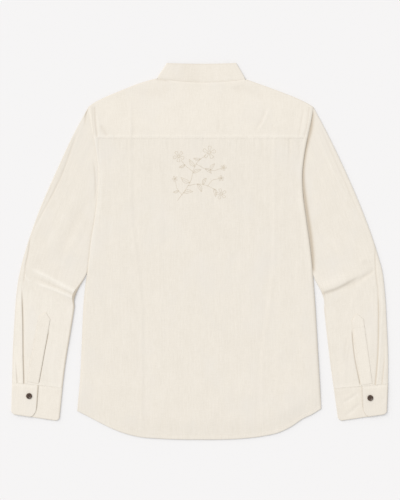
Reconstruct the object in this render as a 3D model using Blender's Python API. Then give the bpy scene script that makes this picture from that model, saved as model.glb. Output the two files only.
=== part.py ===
"""Long sleeved shirt with a band collar, laid flat with its back up.

Every table and size is in millimetres on the flat: x runs to the right, y towards the collar and z up
from the surface that the shirt lies on. The meshes are in metres. The shirt's left side is at -x.
"""

import math

import bmesh
import bpy
import numpy as np

MM = 0.001

# Cloth walls and the gap that is left wherever two pieces are sewn together
SEAM_GAP = 0.3
FRONT_WALL = 1.1
SLEEVE_WALL = 1.1
BACK_WALL = 1.5
YOKE_WALL = 2.2
BAND_WALL = 1.6
CUFF_WALL = 1.4
PLACKET_WALL = 1.0

# Body outline: half of the chest on each side, from the shoulder point down to the hem corner
BODY_EDGES = [
    # y, left x, right x
    (303.0, -234.0, 239.5),
    (275.0, -229.5, 234.5),
    (233.0, -222.0, 225.5),
    (200.0, -216.5, 219.5),
    (160.0, -213.0, 215.5),
    (125.0, -214.5, 216.5),
    (65.0, -221.0, 224.0),
    (23.0, -228.0, 230.0),
    (-20.0, -233.0, 235.0),
    (-103.0, -243.0, 242.0),
    (-187.0, -247.0, 247.0),
    (-271.0, -251.0, 252.0),
    (-336.0, -257.0, 255.5),
]

# Shirt tail: the curve of the hem from the left side seam to the right one
HEM_LINE = [
    # x, y
    (-257.0, -336.0),
    (-241.0, -344.0),
    (-216.0, -357.0),
    (-188.0, -371.0),
    (-157.0, -383.0),
    (-125.0, -390.5),
    (-83.0, -394.0),
    (1.0, -396.0),
    (85.0, -394.0),
    (131.0, -389.0),
    (169.0, -380.0),
    (194.0, -367.5),
    (217.0, -352.0),
    (236.0, -343.0),
    (255.5, -331.0),
]

# Fold of the shoulders, from the sleeve to the neck on each side
LEFT_SHOULDER = [
    # x, y
    (-234.0, 302.5),
    (-224.0, 310.0),
    (-199.0, 323.0),
    (-167.0, 336.5),
    (-125.0, 353.0),
    (-90.0, 363.0),
]
RIGHT_SHOULDER = [
    # x, y
    (97.0, 361.0),
    (127.0, 350.5),
    (169.0, 335.0),
    (211.0, 318.0),
    (228.0, 309.5),
    (239.5, 302.5),
]
SHOULDER_SEAM_DROP = 28.0
YOKE_SEAM_Y = 237.0
UNDERARM_Y = 128.0

# Neck: half ellipses for the front seam and for the free edge of the band
CENTRE_X = 3.5
NECK_Y = 361.0
NECK_HALF_WIDTH = 93.5
NECK_DROP = 69.0
BACK_NECK_DIP = 5.5
BAND_TOP_CENTRE_X = 4.0
BAND_TOP_Y = 395.0
BAND_TOP_HALF_WIDTH = 73.0
BAND_TOP_DROP = 68.0
BAND_TOP_DIP = 3.5
BAND_BACK_BOTTOM_Z = 3.7
BAND_END_ROUNDING = 12.0
NECK_ANGLES = (33.0, 43.0, 54.0, 66.0, 78.0, 90.0)
SHOULDER_COLUMNS = (0.0, 0.05, 0.16, 0.33, 0.54, 0.77, 1.0)
WIDEST_NECK_COLUMN = 1.4
TUCK_NECK_GAP = 0.5

# Rows of the yoke: up from its seam, round the shoulder fold by angle, and under to the shoulder seam
YOKE_ROWS = (0.0, 0.1, 0.2, 0.3, 0.4, 0.5, 0.63, 0.8, 0.93, 1.0)
YOKE_FOLD_ANGLES = (35.0, 90.0, 145.0, 180.0)
YOKE_TUCKED_ROWS = (0.5, 1.0)
YOKE_LEVELS_OUT_FROM = 0.6

# Stations along the collar band: near its front ends, round its side folds and across the back
BAND_END_STEPS = (0.5, 2.0, 5.0, 9.0, 12.5)
BAND_SIDE_ANGLE = 11.0
BAND_FOLD_ANGLES = (-90.0, -50.0, 0.0, 50.0, 90.0)
BAND_BACK_SHARES = (0.12, 0.26, 0.4, 0.5, 0.6, 0.74, 0.88)
BAND_WIDTHS = (0.0, 0.5, 1.0)

# Height of the inner side of back and yoke over the surface
LOFT_MIDDLE = 4.45
LOFT_SIDE = 3.9
LOFT_NECK = 3.7
LOFT_HEM = 1.45
SIDE_SLOPE = 70.0
HEM_SLOPE = 45.0
NECK_SLOPE_FROM_Y = 285.0
NECK_SLOPE = 60.0

# Long soft folds of the back: a ridge with a wider valley on its outer side
BACK_FOLDS = [
    # side, x at the yoke, y of the bend, x at the hem, ridge, valley, half width
    (-1, -142.0, -10.0, -121.0, 0.4, 0.7, 8.0),
    (1, 156.0, -130.0, 131.0, 0.4, 0.7, 8.0),
]
FOLD_BEND_LENGTH = 260.0
VALLEY_AWAY = 2.2
VALLEY_SPREAD = 1.3
FOLDS_END_Y = 300.0
FOLDS_FADE = 60.0
FOLDS_SIDE_FADE = 30.0

# Rows of the back from the yoke seam at 0 to the hem at 1, and its columns beside edges and folds
BACK_ROWS = (0.0, 0.035, 0.07, 0.105, 0.14, 0.17, 0.195, 0.22, 0.27, 0.33, 0.4, 0.47, 0.55, 0.63)
BACK_ROWS += (0.71, 0.79, 0.86, 0.905, 0.94, 0.97, 1.0)
EDGE_COLUMN = 22.0
FOLD_COLUMNS = (-26.0, -17.0, -8.0, 0.0, 8.0)

# Rolled side edges of the back, which come down onto the fronts below the underarm
ROLL_WIDTH = 6.0
ROLL_BOTTOM_Z = 1.4
ROLL_ANGLES = (0.0, 25.0, 50.0, 72.0, 90.0)
ROLL_BLEND = 22.0

# Front placket: buttons under it lift both fronts along the centre
PLACKET_HALF_WIDTH = 15.0
BUTTON_LIFT = 2.5
LIFT_STARTS_Y = (302.0, 246.0)
LIFT_ENDS_Y = (-298.0, -388.0)
FRONT_HEM_RAISE = 4.0
FRONT_ROWS = (0.0, 0.018, 0.036, 0.055, 0.077, 0.11, 0.15, 0.185, 0.22, 0.255, 0.3, 0.36)
FRONT_ROWS += (0.42, 0.5, 0.6, 0.75, 0.86, 0.885, 0.91, 0.935, 0.96, 0.98, 1.0)
FRONT_BUTTONS = 7
FRONT_BUTTON_TOP_Y = 242.0
FRONT_BUTTON_SPACING = 88.5
LAYER_MARGIN = 0.38

# Sleeves: a row for each section, with its outer and inner edge
LEFT_SLEEVE = [
    # outer x, outer y, inner x, inner y
    (-234.0, 302.0, -214.5, 128.0),
    (-264.0, 247.0, -216.5, 101.0),
    (-300.0, 170.0, -220.5, 65.0),
    (-333.0, 95.0, -227.0, 28.0),
    (-358.0, 26.0, -233.5, -15.0),
    (-373.0, -24.0, -243.0, -58.0),
    (-377.0, -41.0, -257.0, -83.0),
    (-378.0, -45.0, -259.5, -89.0),
    (-384.0, -82.0, -263.0, -119.0),
    (-389.0, -145.0, -271.0, -170.0),
    (-393.0, -220.0, -282.0, -237.0),
    (-394.0, -275.5, -288.0, -286.5),
]
RIGHT_SLEEVE = [
    # outer x, outer y, inner x, inner y
    (239.5, 302.0, 216.0, 128.0),
    (267.0, 250.0, 219.5, 99.0),
    (303.0, 175.0, 225.0, 63.0),
    (337.0, 97.0, 230.5, 23.0),
    (363.0, 28.0, 235.5, -19.0),
    (378.0, -20.0, 243.0, -61.0),
    (382.0, -34.0, 255.0, -84.0),
    (383.0, -38.5, 257.5, -90.0),
    (389.0, -84.0, 262.0, -126.0),
    (393.0, -149.0, 268.0, -180.0),
    (396.0, -222.0, 276.0, -245.0),
    (396.0, -278.5, 282.0, -288.5),
]
ELBOW_CREST_ROW = 6
ELBOW_FOOT_ROW = 7
ARMHOLE_BOW_LENGTH = 190.0
SLEEVE_BODY_GAP = 1.0

SLEEVE_HEIGHT = 4.2
SLEEVE_HEIGHT_AT_CUFF = 3.9
SLEEVE_UNDERLAP_DROP = 0.5
ELBOW_RIDGE = 3.0
ELBOW_RIDGE_RUN = 46.0
ELBOW_EDGE_SHARE = 0.6
ELBOW_RISES = (0.1, 0.5)
ELBOW_FALLS = (0.8, 1.0)
UNDERLAP_RAMP = (0.56, 0.76)
SLEEVE_INSIDE_TOP = 4.8

# Sections of a sleeve, by share of the way between named rows of its table
SECTIONS_ABOVE_ELBOW = (0.0, 0.04, 0.1, 0.19, 0.29, 0.4, 0.51, 0.62, 0.73, 0.82, 0.88, 0.93, 0.97)
SECTIONS_BELOW_ELBOW = (0.0, 0.035, 0.1, 0.19, 0.31, 0.45, 0.6, 0.75, 0.89, 1.0)
TOP_COLUMNS = (0.28, 0.38, 0.48, 0.58, 0.69, 0.8, 0.91)
BOTTOM_COLUMNS = (0.7, 0.4, 0.18)
EDGE_ANGLES = (-90.0, -45.0, 0.0, 45.0, 90.0)

# Pleats at the cuff, as shares of the sleeve's width where they start and where they end
PLEATS = [
    # share at the armhole, at its start and at the cuff, start as share of the lower sleeve, height
    (0.08, 0.045, 0.10, 0.45, 0.5),
    (0.18, 0.085, 0.24, 0.12, 1.0),
]
PLEAT_STEP = 0.012
PLEAT_WIDTH = 0.07
PLEAT_FADE = 60.0

# Sleeve plackets: pointed strips from the cuff seam up the sleeve
LEFT_PLACKET = {"base": (-350.5, -276.5), "tip": (-323.5, -128.0)}
RIGHT_PLACKET = {"base": (350.5, -280.0), "tip": (330.0, -131.5)}
PLACKET_WIDTH = 25.0
PLACKET_POINT = 13.0
PLACKET_ROWS = (0.0, 0.2, 0.4, 0.6, 0.8, 1.0)
PLACKET_COLUMNS = (-0.5, -0.17, 0.17, 0.5)
PLACKET_TIP_ROWS = [
    # share of the point's length, share of the width
    (0.55, 0.55),
    (1.0, 0.12),
]

# Cuffs: four corners each, outer and inner edge at the seam and at the free edge
LEFT_CUFF = {
    "seam_outer": (-394.0, -276.0),
    "seam_inner": (-288.0, -287.0),
    "free_outer": (-396.0, -342.0),
    "free_inner": (-295.0, -357.0),
    "lap_share": 0.52,
}
RIGHT_CUFF = {
    "seam_outer": (396.0, -279.0),
    "seam_inner": (282.0, -289.0),
    "free_outer": (393.5, -342.0),
    "free_inner": (291.5, -357.0),
    "lap_share": 0.49,
}
CUFF_LAP_TOP_Z = 5.1
CUFF_UNDERLAP_TOP_Z = 3.4
CUFF_CORNER_RADIUS = 14.0
CUFF_END_STEPS = (0.0, 1.2, 3.6, 8.0, 14.0)
CUFF_TOP_STEPS = (24.0, 36.0)
CUFF_FOLD_ANGLES = (90.0, 50.0, 0.0, -50.0, -90.0)
CUFF_BOTTOM_SHARES = (0.2, 0.4, 0.6, 0.8)
CUFF_UNDERLAP_SHARES = (0.8, 0.6, 0.4, 0.26)
CUFF_DEPTH_SHARES = (0.0, 0.3, 0.6, 0.8, 1.0)

# Buttons
CUFF_BUTTON_RADIUS = 6.25
CUFF_BUTTON_THICKNESS = 2.5
FRONT_BUTTON_RADIUS = 5.75
FRONT_BUTTON_THICKNESS = 2.2
BUTTON_SEGMENTS = 12
BUTTON_PROFILE = [
    # share of the radius, share of the thickness
    (0.0, 0.62),
    (0.5, 0.62),
    (0.68, 0.92),
    (0.82, 1.0),
    (0.96, 0.8),
    (1.0, 0.5),
    (0.8, 0.08),
    (0.6, 0.0),
    (0.0, 0.0),
]
LEFT_CUFF_BUTTON = (-358.0, -304.0)
RIGHT_CUFF_BUTTON = (358.0, -308.0)

# Finishes
CLOTH_COLOUR = (0.86, 0.80, 0.71, 1.0)
CLOTH_ROUGHNESS = 0.9
BUTTON_COLOUR = (0.075, 0.045, 0.028, 1.0)
BUTTON_ROUGHNESS = 0.35


def through(knots, values, at):
    """Smooth curve through the values of a table, read at one place."""
    knots = np.asarray(knots, float)
    values = np.asarray(values, float)
    if knots[0] > knots[-1]:
        knots = knots[::-1]
        values = values[::-1]
    at = min(max(at, knots[0]), knots[-1])
    slopes = np.gradient(values, knots)
    row = int(np.clip(np.searchsorted(knots, at) - 1, 0, len(knots) - 2))
    span = knots[row + 1] - knots[row]
    t = (at - knots[row]) / span
    start = (2 * t**3 - 3 * t**2 + 1) * values[row] + (t**3 - 2 * t**2 + t) * span * slopes[row]
    end = (3 * t**2 - 2 * t**3) * values[row + 1] + (t**3 - t**2) * span * slopes[row + 1]
    return float(start + end)


def ease(share):
    """Smooth step from 0 to 1."""
    share = min(max(share, 0.0), 1.0)
    return share * share * (3.0 - 2.0 * share)


def ramp_between(span, value):
    """Smooth step from 0 at the start of a span to 1 at its end."""
    return ease((value - span[0]) / (span[1] - span[0]))


def mix(start, end, share):
    """Value or point at a share of the way from start to end."""
    return start + (end - start) * share


def left_edge(y):
    """Left outline of the body at a height on the flat."""
    return through([row[0] for row in BODY_EDGES], [row[1] for row in BODY_EDGES], y)


def right_edge(y):
    """Right outline of the body at a height on the flat."""
    return through([row[0] for row in BODY_EDGES], [row[2] for row in BODY_EDGES], y)


def hem_y(x):
    """Lowest line of the shirt tail."""
    return through([row[0] for row in HEM_LINE], [row[1] for row in HEM_LINE], x)


def shoulder_y(x):
    """Fold of the shoulder nearest to x."""
    line = LEFT_SHOULDER if x < CENTRE_X else RIGHT_SHOULDER
    return through([row[0] for row in line], [row[1] for row in line], x)


def neck_point(angle, side):
    """Point of the front neck seam; 0 is at the shoulder and 90 at the centre front."""
    turn = math.radians(angle)
    x = CENTRE_X + side * NECK_HALF_WIDTH * math.cos(turn)
    return x, NECK_Y - NECK_DROP * math.sin(turn)


def band_top_point(angle, side):
    """Point of the band's free edge opposite the front neck seam."""
    turn = math.radians(angle)
    x = BAND_TOP_CENTRE_X + side * BAND_TOP_HALF_WIDTH * math.cos(turn)
    return x, BAND_TOP_Y - BAND_TOP_DROP * math.sin(turn)


def near_centre_front(distance, side):
    """Point of the neck seam a short way from the centre front, where the seam is straight."""
    centre = neck_point(90.0, side)
    end = neck_point(NECK_ANGLES[-2], side)
    share = distance / abs(end[0] - centre[0])
    return mix(centre[0], end[0], share), mix(centre[1], end[1], share)


def back_neck_y(x):
    """Back neck seam, which dips a little between the two shoulders."""
    share = (x - CENTRE_X) / NECK_HALF_WIDTH
    shoulders = mix(LEFT_SHOULDER[-1][1], RIGHT_SHOULDER[0][1], 0.5 + 0.5 * share)
    return shoulders - BACK_NECK_DIP * (1.0 - share * share)


def seam_angle(side):
    """Angle of the neck seam where the forward shoulder seam meets it."""
    neck = LEFT_SHOULDER[-1] if side < 0 else RIGHT_SHOULDER[0]
    return math.degrees(math.asin((NECK_Y - neck[1] + SHOULDER_SEAM_DROP) / NECK_DROP))


def tucked_x(share, y, side):
    """Place across the underside of a shoulder, from the armhole at 0 to the neck seam at 1."""
    reach = min(max(NECK_Y - y, 0.0) / NECK_DROP, 1.0)
    neck = LEFT_SHOULDER[-1][0] if side < 0 else RIGHT_SHOULDER[0][0]
    seam = neck - side * NECK_HALF_WIDTH * (1.0 - math.sqrt(1.0 - reach * reach))
    edge = left_edge(y) if side < 0 else right_edge(y)
    return mix(edge, seam + side * TUCK_NECK_GAP, share)


def shoulder_fold(share, side):
    """Point of the shoulder fold, from the armhole at 0 to the neck at 1."""
    neck = LEFT_SHOULDER[-1][0] if side < 0 else RIGHT_SHOULDER[0][0]
    edge = left_edge if side < 0 else right_edge
    y = NECK_Y
    for _ in range(5):
        x = mix(edge(y), neck, share)
        y = shoulder_y(x)
    return x, y


def shoulder_seam(share, side):
    """Point of the forward shoulder seam, from the armhole at 0 to the neck at 1."""
    y = shoulder_fold(share, side)[1] - SHOULDER_SEAM_DROP
    return tucked_x(share, y, side), y


def ramp_steps():
    """Distances from the centre where the raised placket starts, passes the middle of and ends its ramp."""
    return [NECK_HALF_WIDTH * math.cos(math.radians(angle)) for angle in (78.0, 66.0, 54.0)]


def button_lift(y):
    """How far the front buttons hold the placket off the surface."""
    start = ease((LIFT_STARTS_Y[0] - y) / (LIFT_STARTS_Y[0] - LIFT_STARTS_Y[1]))
    end = ease((y - LIFT_ENDS_Y[1]) / (LIFT_ENDS_Y[0] - LIFT_ENDS_Y[1]))
    return BUTTON_LIFT * start * end


def placket_ramp(x):
    """1 over the lapped fronts, falling to 0 on each side of them."""
    flat, _, end = ramp_steps()
    return 1.0 - min(max((abs(x - CENTRE_X) - flat) / (end - flat), 0.0), 1.0)


def front_bottom(x, y, side):
    """Outer, lower side of a front; the right one lies on the left one."""
    over = 0.0 if side < 0 else FRONT_WALL + SEAM_GAP
    return placket_ramp(x) * (button_lift(y) + over)


def fold_x(fold, y):
    """Where a long fold of the back runs at a height on the flat."""
    _, at_yoke, bend, at_hem = fold[:4]
    return mix(at_yoke, at_hem, ease((bend - y) / FOLD_BEND_LENGTH + 0.5))


def fold_height(x, y):
    """Ridges and valleys of the long folds of the back."""
    rise = 0.0
    for fold in BACK_FOLDS:
        side, ridge, valley, half = fold[0], fold[4], fold[5], fold[6]
        away = (x - fold_x(fold, y)) * side
        rise += ridge * math.exp(-((away / half) ** 2))
        rise -= valley * math.exp(-(((away - VALLEY_AWAY * half) / (VALLEY_SPREAD * half)) ** 2))
    return rise


def back_inside(x, y):
    """Inner side of back and yoke."""
    side = min(x - left_edge(y), right_edge(y) - x)
    z = mix(LOFT_SIDE, LOFT_MIDDLE, ease(side / SIDE_SLOPE))
    z = mix(z, LOFT_NECK, ease((y - NECK_SLOPE_FROM_Y) / NECK_SLOPE))
    z += fold_height(x, y) * ease(side / FOLDS_SIDE_FADE) * ease((FOLDS_END_Y - y) / FOLDS_FADE)
    z = mix(LOFT_HEM, z, ease((y - hem_y(x)) / HEM_SLOPE))
    if y > NECK_Y - NECK_DROP:
        return z
    fronts = placket_ramp(x) * (button_lift(y) + FRONT_WALL + SEAM_GAP) + FRONT_WALL
    return max(z, fronts + LAYER_MARGIN)


def new_material(name, colour, roughness):
    """Plain finish for a sub-part."""
    material = bpy.data.materials.new(name)
    material.use_nodes = True
    shader = material.node_tree.nodes["Principled BSDF"]
    shader.inputs["Base Color"].default_value = colour
    shader.inputs["Roughness"].default_value = roughness
    shader.inputs["Metallic"].default_value = 0.0
    return material


def add_object(name, mesh_builder, colour, roughness):
    """Turn a bmesh into an object with smooth shading and its own finish."""
    if mesh_builder.calc_volume(signed=True) < 0.0:
        bmesh.ops.reverse_faces(mesh_builder, faces=mesh_builder.faces[:])
    mesh = bpy.data.meshes.new(name)
    mesh_builder.to_mesh(mesh)
    mesh_builder.free()
    mesh.shade_smooth()
    mesh.set_sharp_from_angle(angle=math.radians(40.0))
    mesh.materials.append(new_material(name, colour, roughness))
    piece = bpy.data.objects.new(name, mesh)
    bpy.context.scene.collection.objects.link(piece)
    return piece


def add_cloth(name, outer, inner, closed=False, keep=None):
    """Cloth wall between two grids of points of equal size, with its cut edges filled.

    outer and inner are rows of points. With closed, each row is a ring. keep(row, column) says
    whether the field after that row and column is cloth.
    """
    rows = len(outer)
    columns = len(outer[0])
    builder = bmesh.new()
    grids = []
    for grid in (outer, inner):
        grids.append([[builder.verts.new([value * MM for value in point]) for point in row] for row in grid])
    sides = {}
    for row in range(rows - 1):
        for column in range(columns if closed else columns - 1):
            if keep and not keep(row, column):
                continue
            after = (column + 1) % columns
            corners = [(row, column), (row, after), (row + 1, after), (row + 1, column)]
            builder.faces.new([grids[0][r][c] for r, c in corners])
            builder.faces.new([grids[1][r][c] for r, c in reversed(corners)])
            for start, end in zip(corners, corners[1:] + corners[:1]):
                if (end, start) in sides:
                    del sides[(end, start)]
                else:
                    sides[(start, end)] = True
    for (r0, c0), (r1, c1) in sides:
        builder.faces.new([grids[0][r1][c1], grids[0][r0][c0], grids[1][r0][c0], grids[1][r1][c1]])
    loose = [vert for vert in builder.verts if not vert.link_faces]
    bmesh.ops.delete(builder, geom=loose, context="VERTS")
    return add_object(name, builder, CLOTH_COLOUR, CLOTH_ROUGHNESS)


def back_columns(y):
    """Places across the back, denser along its edges, its folds and the placket."""
    left, right = left_edge(y) + EDGE_COLUMN, right_edge(y) - EDGE_COLUMN
    left_fold, right_fold = [fold_x(fold, y) for fold in BACK_FOLDS]
    ramp = ramp_steps()
    beside_left = [left_fold + step for step in FOLD_COLUMNS]
    centre = [CENTRE_X - step for step in ramp[::-1]] + [CENTRE_X + step for step in ramp]
    beside_right = [right_fold - step for step in FOLD_COLUMNS[::-1]]
    places = [left, mix(left, beside_left[0], 0.5)] + beside_left
    places += [mix(beside_left[-1], centre[0], 0.5)] + centre + [mix(centre[-1], beside_right[0], 0.5)]
    return places + beside_right + [mix(beside_right[-1], right, 0.5), right]


def edge_roll(y, angle, wall):
    """Offset from the edge and share of the height for a point of a rolled side edge."""
    turn = math.radians(angle)
    rolled = ease((UNDERARM_Y - y) / ROLL_BLEND)
    outer = (ROLL_WIDTH * (1.0 - math.cos(turn)), mix(1.0, math.sin(turn), rolled))
    inner_offset = ROLL_WIDTH - (ROLL_WIDTH - wall) * math.cos(turn)
    inner = (mix(outer[0], inner_offset, rolled), mix(1.0, math.sin(turn), rolled))
    return outer, inner


def back_lines():
    """Lines down the back: x for each y, with the angle round the roll and the side of its edges."""
    lines = [(left_edge, angle, -1) for angle in ROLL_ANGLES]
    for column in range(len(back_columns(0.0))):
        lines.append((lambda y, column=column: back_columns(y)[column], ROLL_ANGLES[-1], 0))
    return lines + [(right_edge, angle, 1) for angle in ROLL_ANGLES[::-1]]


def build_back():
    """Back below the yoke, with rolled side edges, soft folds and a curved tail."""
    top = YOKE_SEAM_Y - 0.5 * SEAM_GAP
    lines = back_lines()
    outer, inner = [], []
    for share in BACK_ROWS:
        outer_row, inner_row = [], []
        for line, angle, side in lines:
            y = top
            for _ in range(5):
                y = mix(top, hem_y(line(y)), share)
            (out_offset, out_rise), (in_offset, in_rise) = edge_roll(y, angle, BACK_WALL)
            out_x = line(y) - side * out_offset
            in_x = line(y) - side * in_offset
            inside = back_inside(in_x, y)
            outer_row.append((out_x, y, mix(ROLL_BOTTOM_Z, inside + BACK_WALL, out_rise)))
            inner_row.append((in_x, y, mix(ROLL_BOTTOM_Z, inside, in_rise)))
        outer.append(outer_row)
        inner.append(inner_row)
    return add_cloth("back", outer, inner)


def build_yoke():
    """Yoke over the shoulders, folded under to the forward shoulder seam."""
    half_steps = ramp_steps() + [ramp_steps()[-1] * WIDEST_NECK_COLUMN]
    neck_steps = [-step for step in half_steps[::-1]] + [0.0] + half_steps
    columns = [(-1, share) for share in SHOULDER_COLUMNS]
    columns += [(0, step) for step in neck_steps]
    columns += [(1, share) for share in SHOULDER_COLUMNS[::-1]]
    rising, turning, tucked = YOKE_ROWS, YOKE_FOLD_ANGLES, YOKE_TUCKED_ROWS
    start = YOKE_SEAM_Y + 0.5 * SEAM_GAP
    outer = [[] for _ in rising + turning + tucked]
    inner = [[] for _ in outer]
    radius = 0.5 * (LOFT_NECK + YOKE_WALL)
    hollow = radius - YOKE_WALL

    for side, share in columns:
        if side:
            fold_at, edge = shoulder_fold(share, side)
            top_end = edge - radius
            outline = left_edge if side < 0 else right_edge
            neck = LEFT_SHOULDER[-1][0] if side < 0 else RIGHT_SHOULDER[0][0]
        else:
            fold_at = CENTRE_X + share
            edge = back_neck_y(fold_at) - 0.5 * SEAM_GAP
            top_end = edge
        for row, along in enumerate(rising):
            y = mix(start, top_end, along)
            x = mix(outline(y), neck, share) if side else fold_at
            level = ease((along - YOKE_LEVELS_OUT_FROM) / (1.0 - YOKE_LEVELS_OUT_FROM))
            inside = mix(back_inside(x, y), LOFT_NECK, level)
            outer[row].append((x, y, inside + YOKE_WALL))
            inner[row].append((x, y, inside))
        for row, angle in enumerate(turning, len(rising)):
            turn = math.radians(angle)
            y = edge - radius + radius * math.sin(turn)
            x = fold_at
            if side:
                x = tucked_x(share, y, side) if angle > 90.0 else mix(outline(y), neck, share)
            outer[row].append((x, y, radius + radius * math.cos(turn)))
            inner[row].append((x, edge - radius + hollow * math.sin(turn), radius + hollow * math.cos(turn)))
        for row, along in enumerate(tucked, len(rising) + len(turning)):
            y = mix(edge - radius, edge - SHOULDER_SEAM_DROP, along)
            x = tucked_x(share, y, side) if side else fold_at
            outer[row].append((x, y + 0.5 * SEAM_GAP, 0.0))
            inner[row].append((x, y + 0.5 * SEAM_GAP, YOKE_WALL))

    first_neck = len(SHOULDER_COLUMNS) - 1
    last_neck = len(SHOULDER_COLUMNS) + len(neck_steps)

    def keep(row, column):
        return row < len(rising) - 1 or column < first_neck or column >= last_neck

    return add_cloth("yoke", outer, inner, keep=keep)


def build_front(name, side):
    """One front from its shoulder seam to its hem, lapped along the centre."""
    edge = left_edge if side < 0 else right_edge
    heads = [shoulder_seam(share, side) for share in SHOULDER_COLUMNS[:-1]]
    heads += [neck_point(angle, side) for angle in (seam_angle(side),) + NECK_ANGLES]
    straight_from = len(SHOULDER_COLUMNS) + NECK_ANGLES.index(54.0)
    heads.append(near_centre_front(PLACKET_HALF_WIDTH, -side))
    heads = [(x, y - SEAM_GAP) for x, y in heads]
    outer, inner = [], []
    for share in FRONT_ROWS:
        outer_row, inner_row = [], []
        for column, (head_x, head_y) in enumerate(heads):
            loose = max(1.0 - column / straight_from, 0.0)
            y = head_y
            x = head_x
            for _ in range(5):
                bow = (edge(y) - edge(head_y)) * loose
                x = head_x + bow
                y = mix(head_y, hem_y(x) + FRONT_HEM_RAISE, share)
            bottom = front_bottom(x, y, side)
            outer_row.append((x, y, bottom))
            inner_row.append((x, y, bottom + FRONT_WALL))
        outer.append(outer_row)
        inner.append(inner_row)
    return add_cloth(name, outer, inner)


def band_end_share(distance):
    """How much of the band's width is left near its rounded front end."""
    missing = max(BAND_END_ROUNDING - distance, 0.0)
    cut = BAND_END_ROUNDING - math.sqrt(BAND_END_ROUNDING**2 - missing**2)
    return 1.0 - cut / (BAND_TOP_Y - BAND_TOP_DROP - NECK_Y + NECK_DROP)


def build_band():
    """Collar band: one strip from centre front round the neck and back to centre front."""
    top_z = BAND_BACK_BOTTOM_Z + BAND_WALL
    radius = 0.5 * top_z
    hollow = radius - BAND_WALL
    outer, inner = [], []

    def add_station(seam, free, outside, inside):
        line = [(mix(seam[0], free[0], share), mix(seam[1], free[1], share)) for share in BAND_WIDTHS]
        for grid, (shift, z) in ((outer, outside), (inner, inside)):
            grid.append([(x + shift, y, z) for x, y in line])

    def front_stations(side):
        stations = []
        for angle in NECK_ANGLES[::-1] + (seam_angle(side), BAND_SIDE_ANGLE):
            seam = neck_point(angle, side)
            free = band_top_point(angle, side)
            if angle == 90.0:
                for step in BAND_END_STEPS:
                    start = near_centre_front(step, side)
                    share = band_end_share(step - BAND_END_STEPS[0])
                    end = (mix(start[0], free[0] + side * step, share), mix(start[1], free[1], share))
                    stations.append((start, end))
            else:
                stations.append((seam, free))
        return stations

    def folded_edge(side):
        neck = LEFT_SHOULDER[-1] if side < 0 else RIGHT_SHOULDER[0]
        free = band_top_point(0.0, side)
        return (neck[0], neck[1] + SEAM_GAP), free

    for seam, free in front_stations(-1):
        add_station(seam, free, (0.0, 0.0), (0.0, BAND_WALL))
    for side in (-1, 1):
        seam, free = folded_edge(side)
        for angle in BAND_FOLD_ANGLES:
            turn = -side * math.radians(angle)
            outside = (-side * (radius - radius * math.cos(turn)), radius + radius * math.sin(turn))
            inside = (-side * (radius - hollow * math.cos(turn)), radius + hollow * math.sin(turn))
            add_station(seam, free, outside, inside)
        if side < 0:
            other_seam, other_free = folded_edge(1)
            for share in BAND_BACK_SHARES:
                seam_x = mix(seam[0], other_seam[0], share)
                free_x = mix(free[0], other_free[0], share)
                dip = BAND_TOP_DIP * (1.0 - (2.0 * share - 1.0) ** 2)
                start = (seam_x, back_neck_y(seam_x) + 0.5 * SEAM_GAP)
                add_station(start, (free_x, BAND_TOP_Y - dip), (0.0, top_z), (0.0, BAND_BACK_BOTTOM_Z))
    for seam, free in reversed(front_stations(1)):
        add_station(seam, free, (0.0, 0.0), (0.0, BAND_WALL))
    return add_cloth("collar_band", outer, inner)


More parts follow.
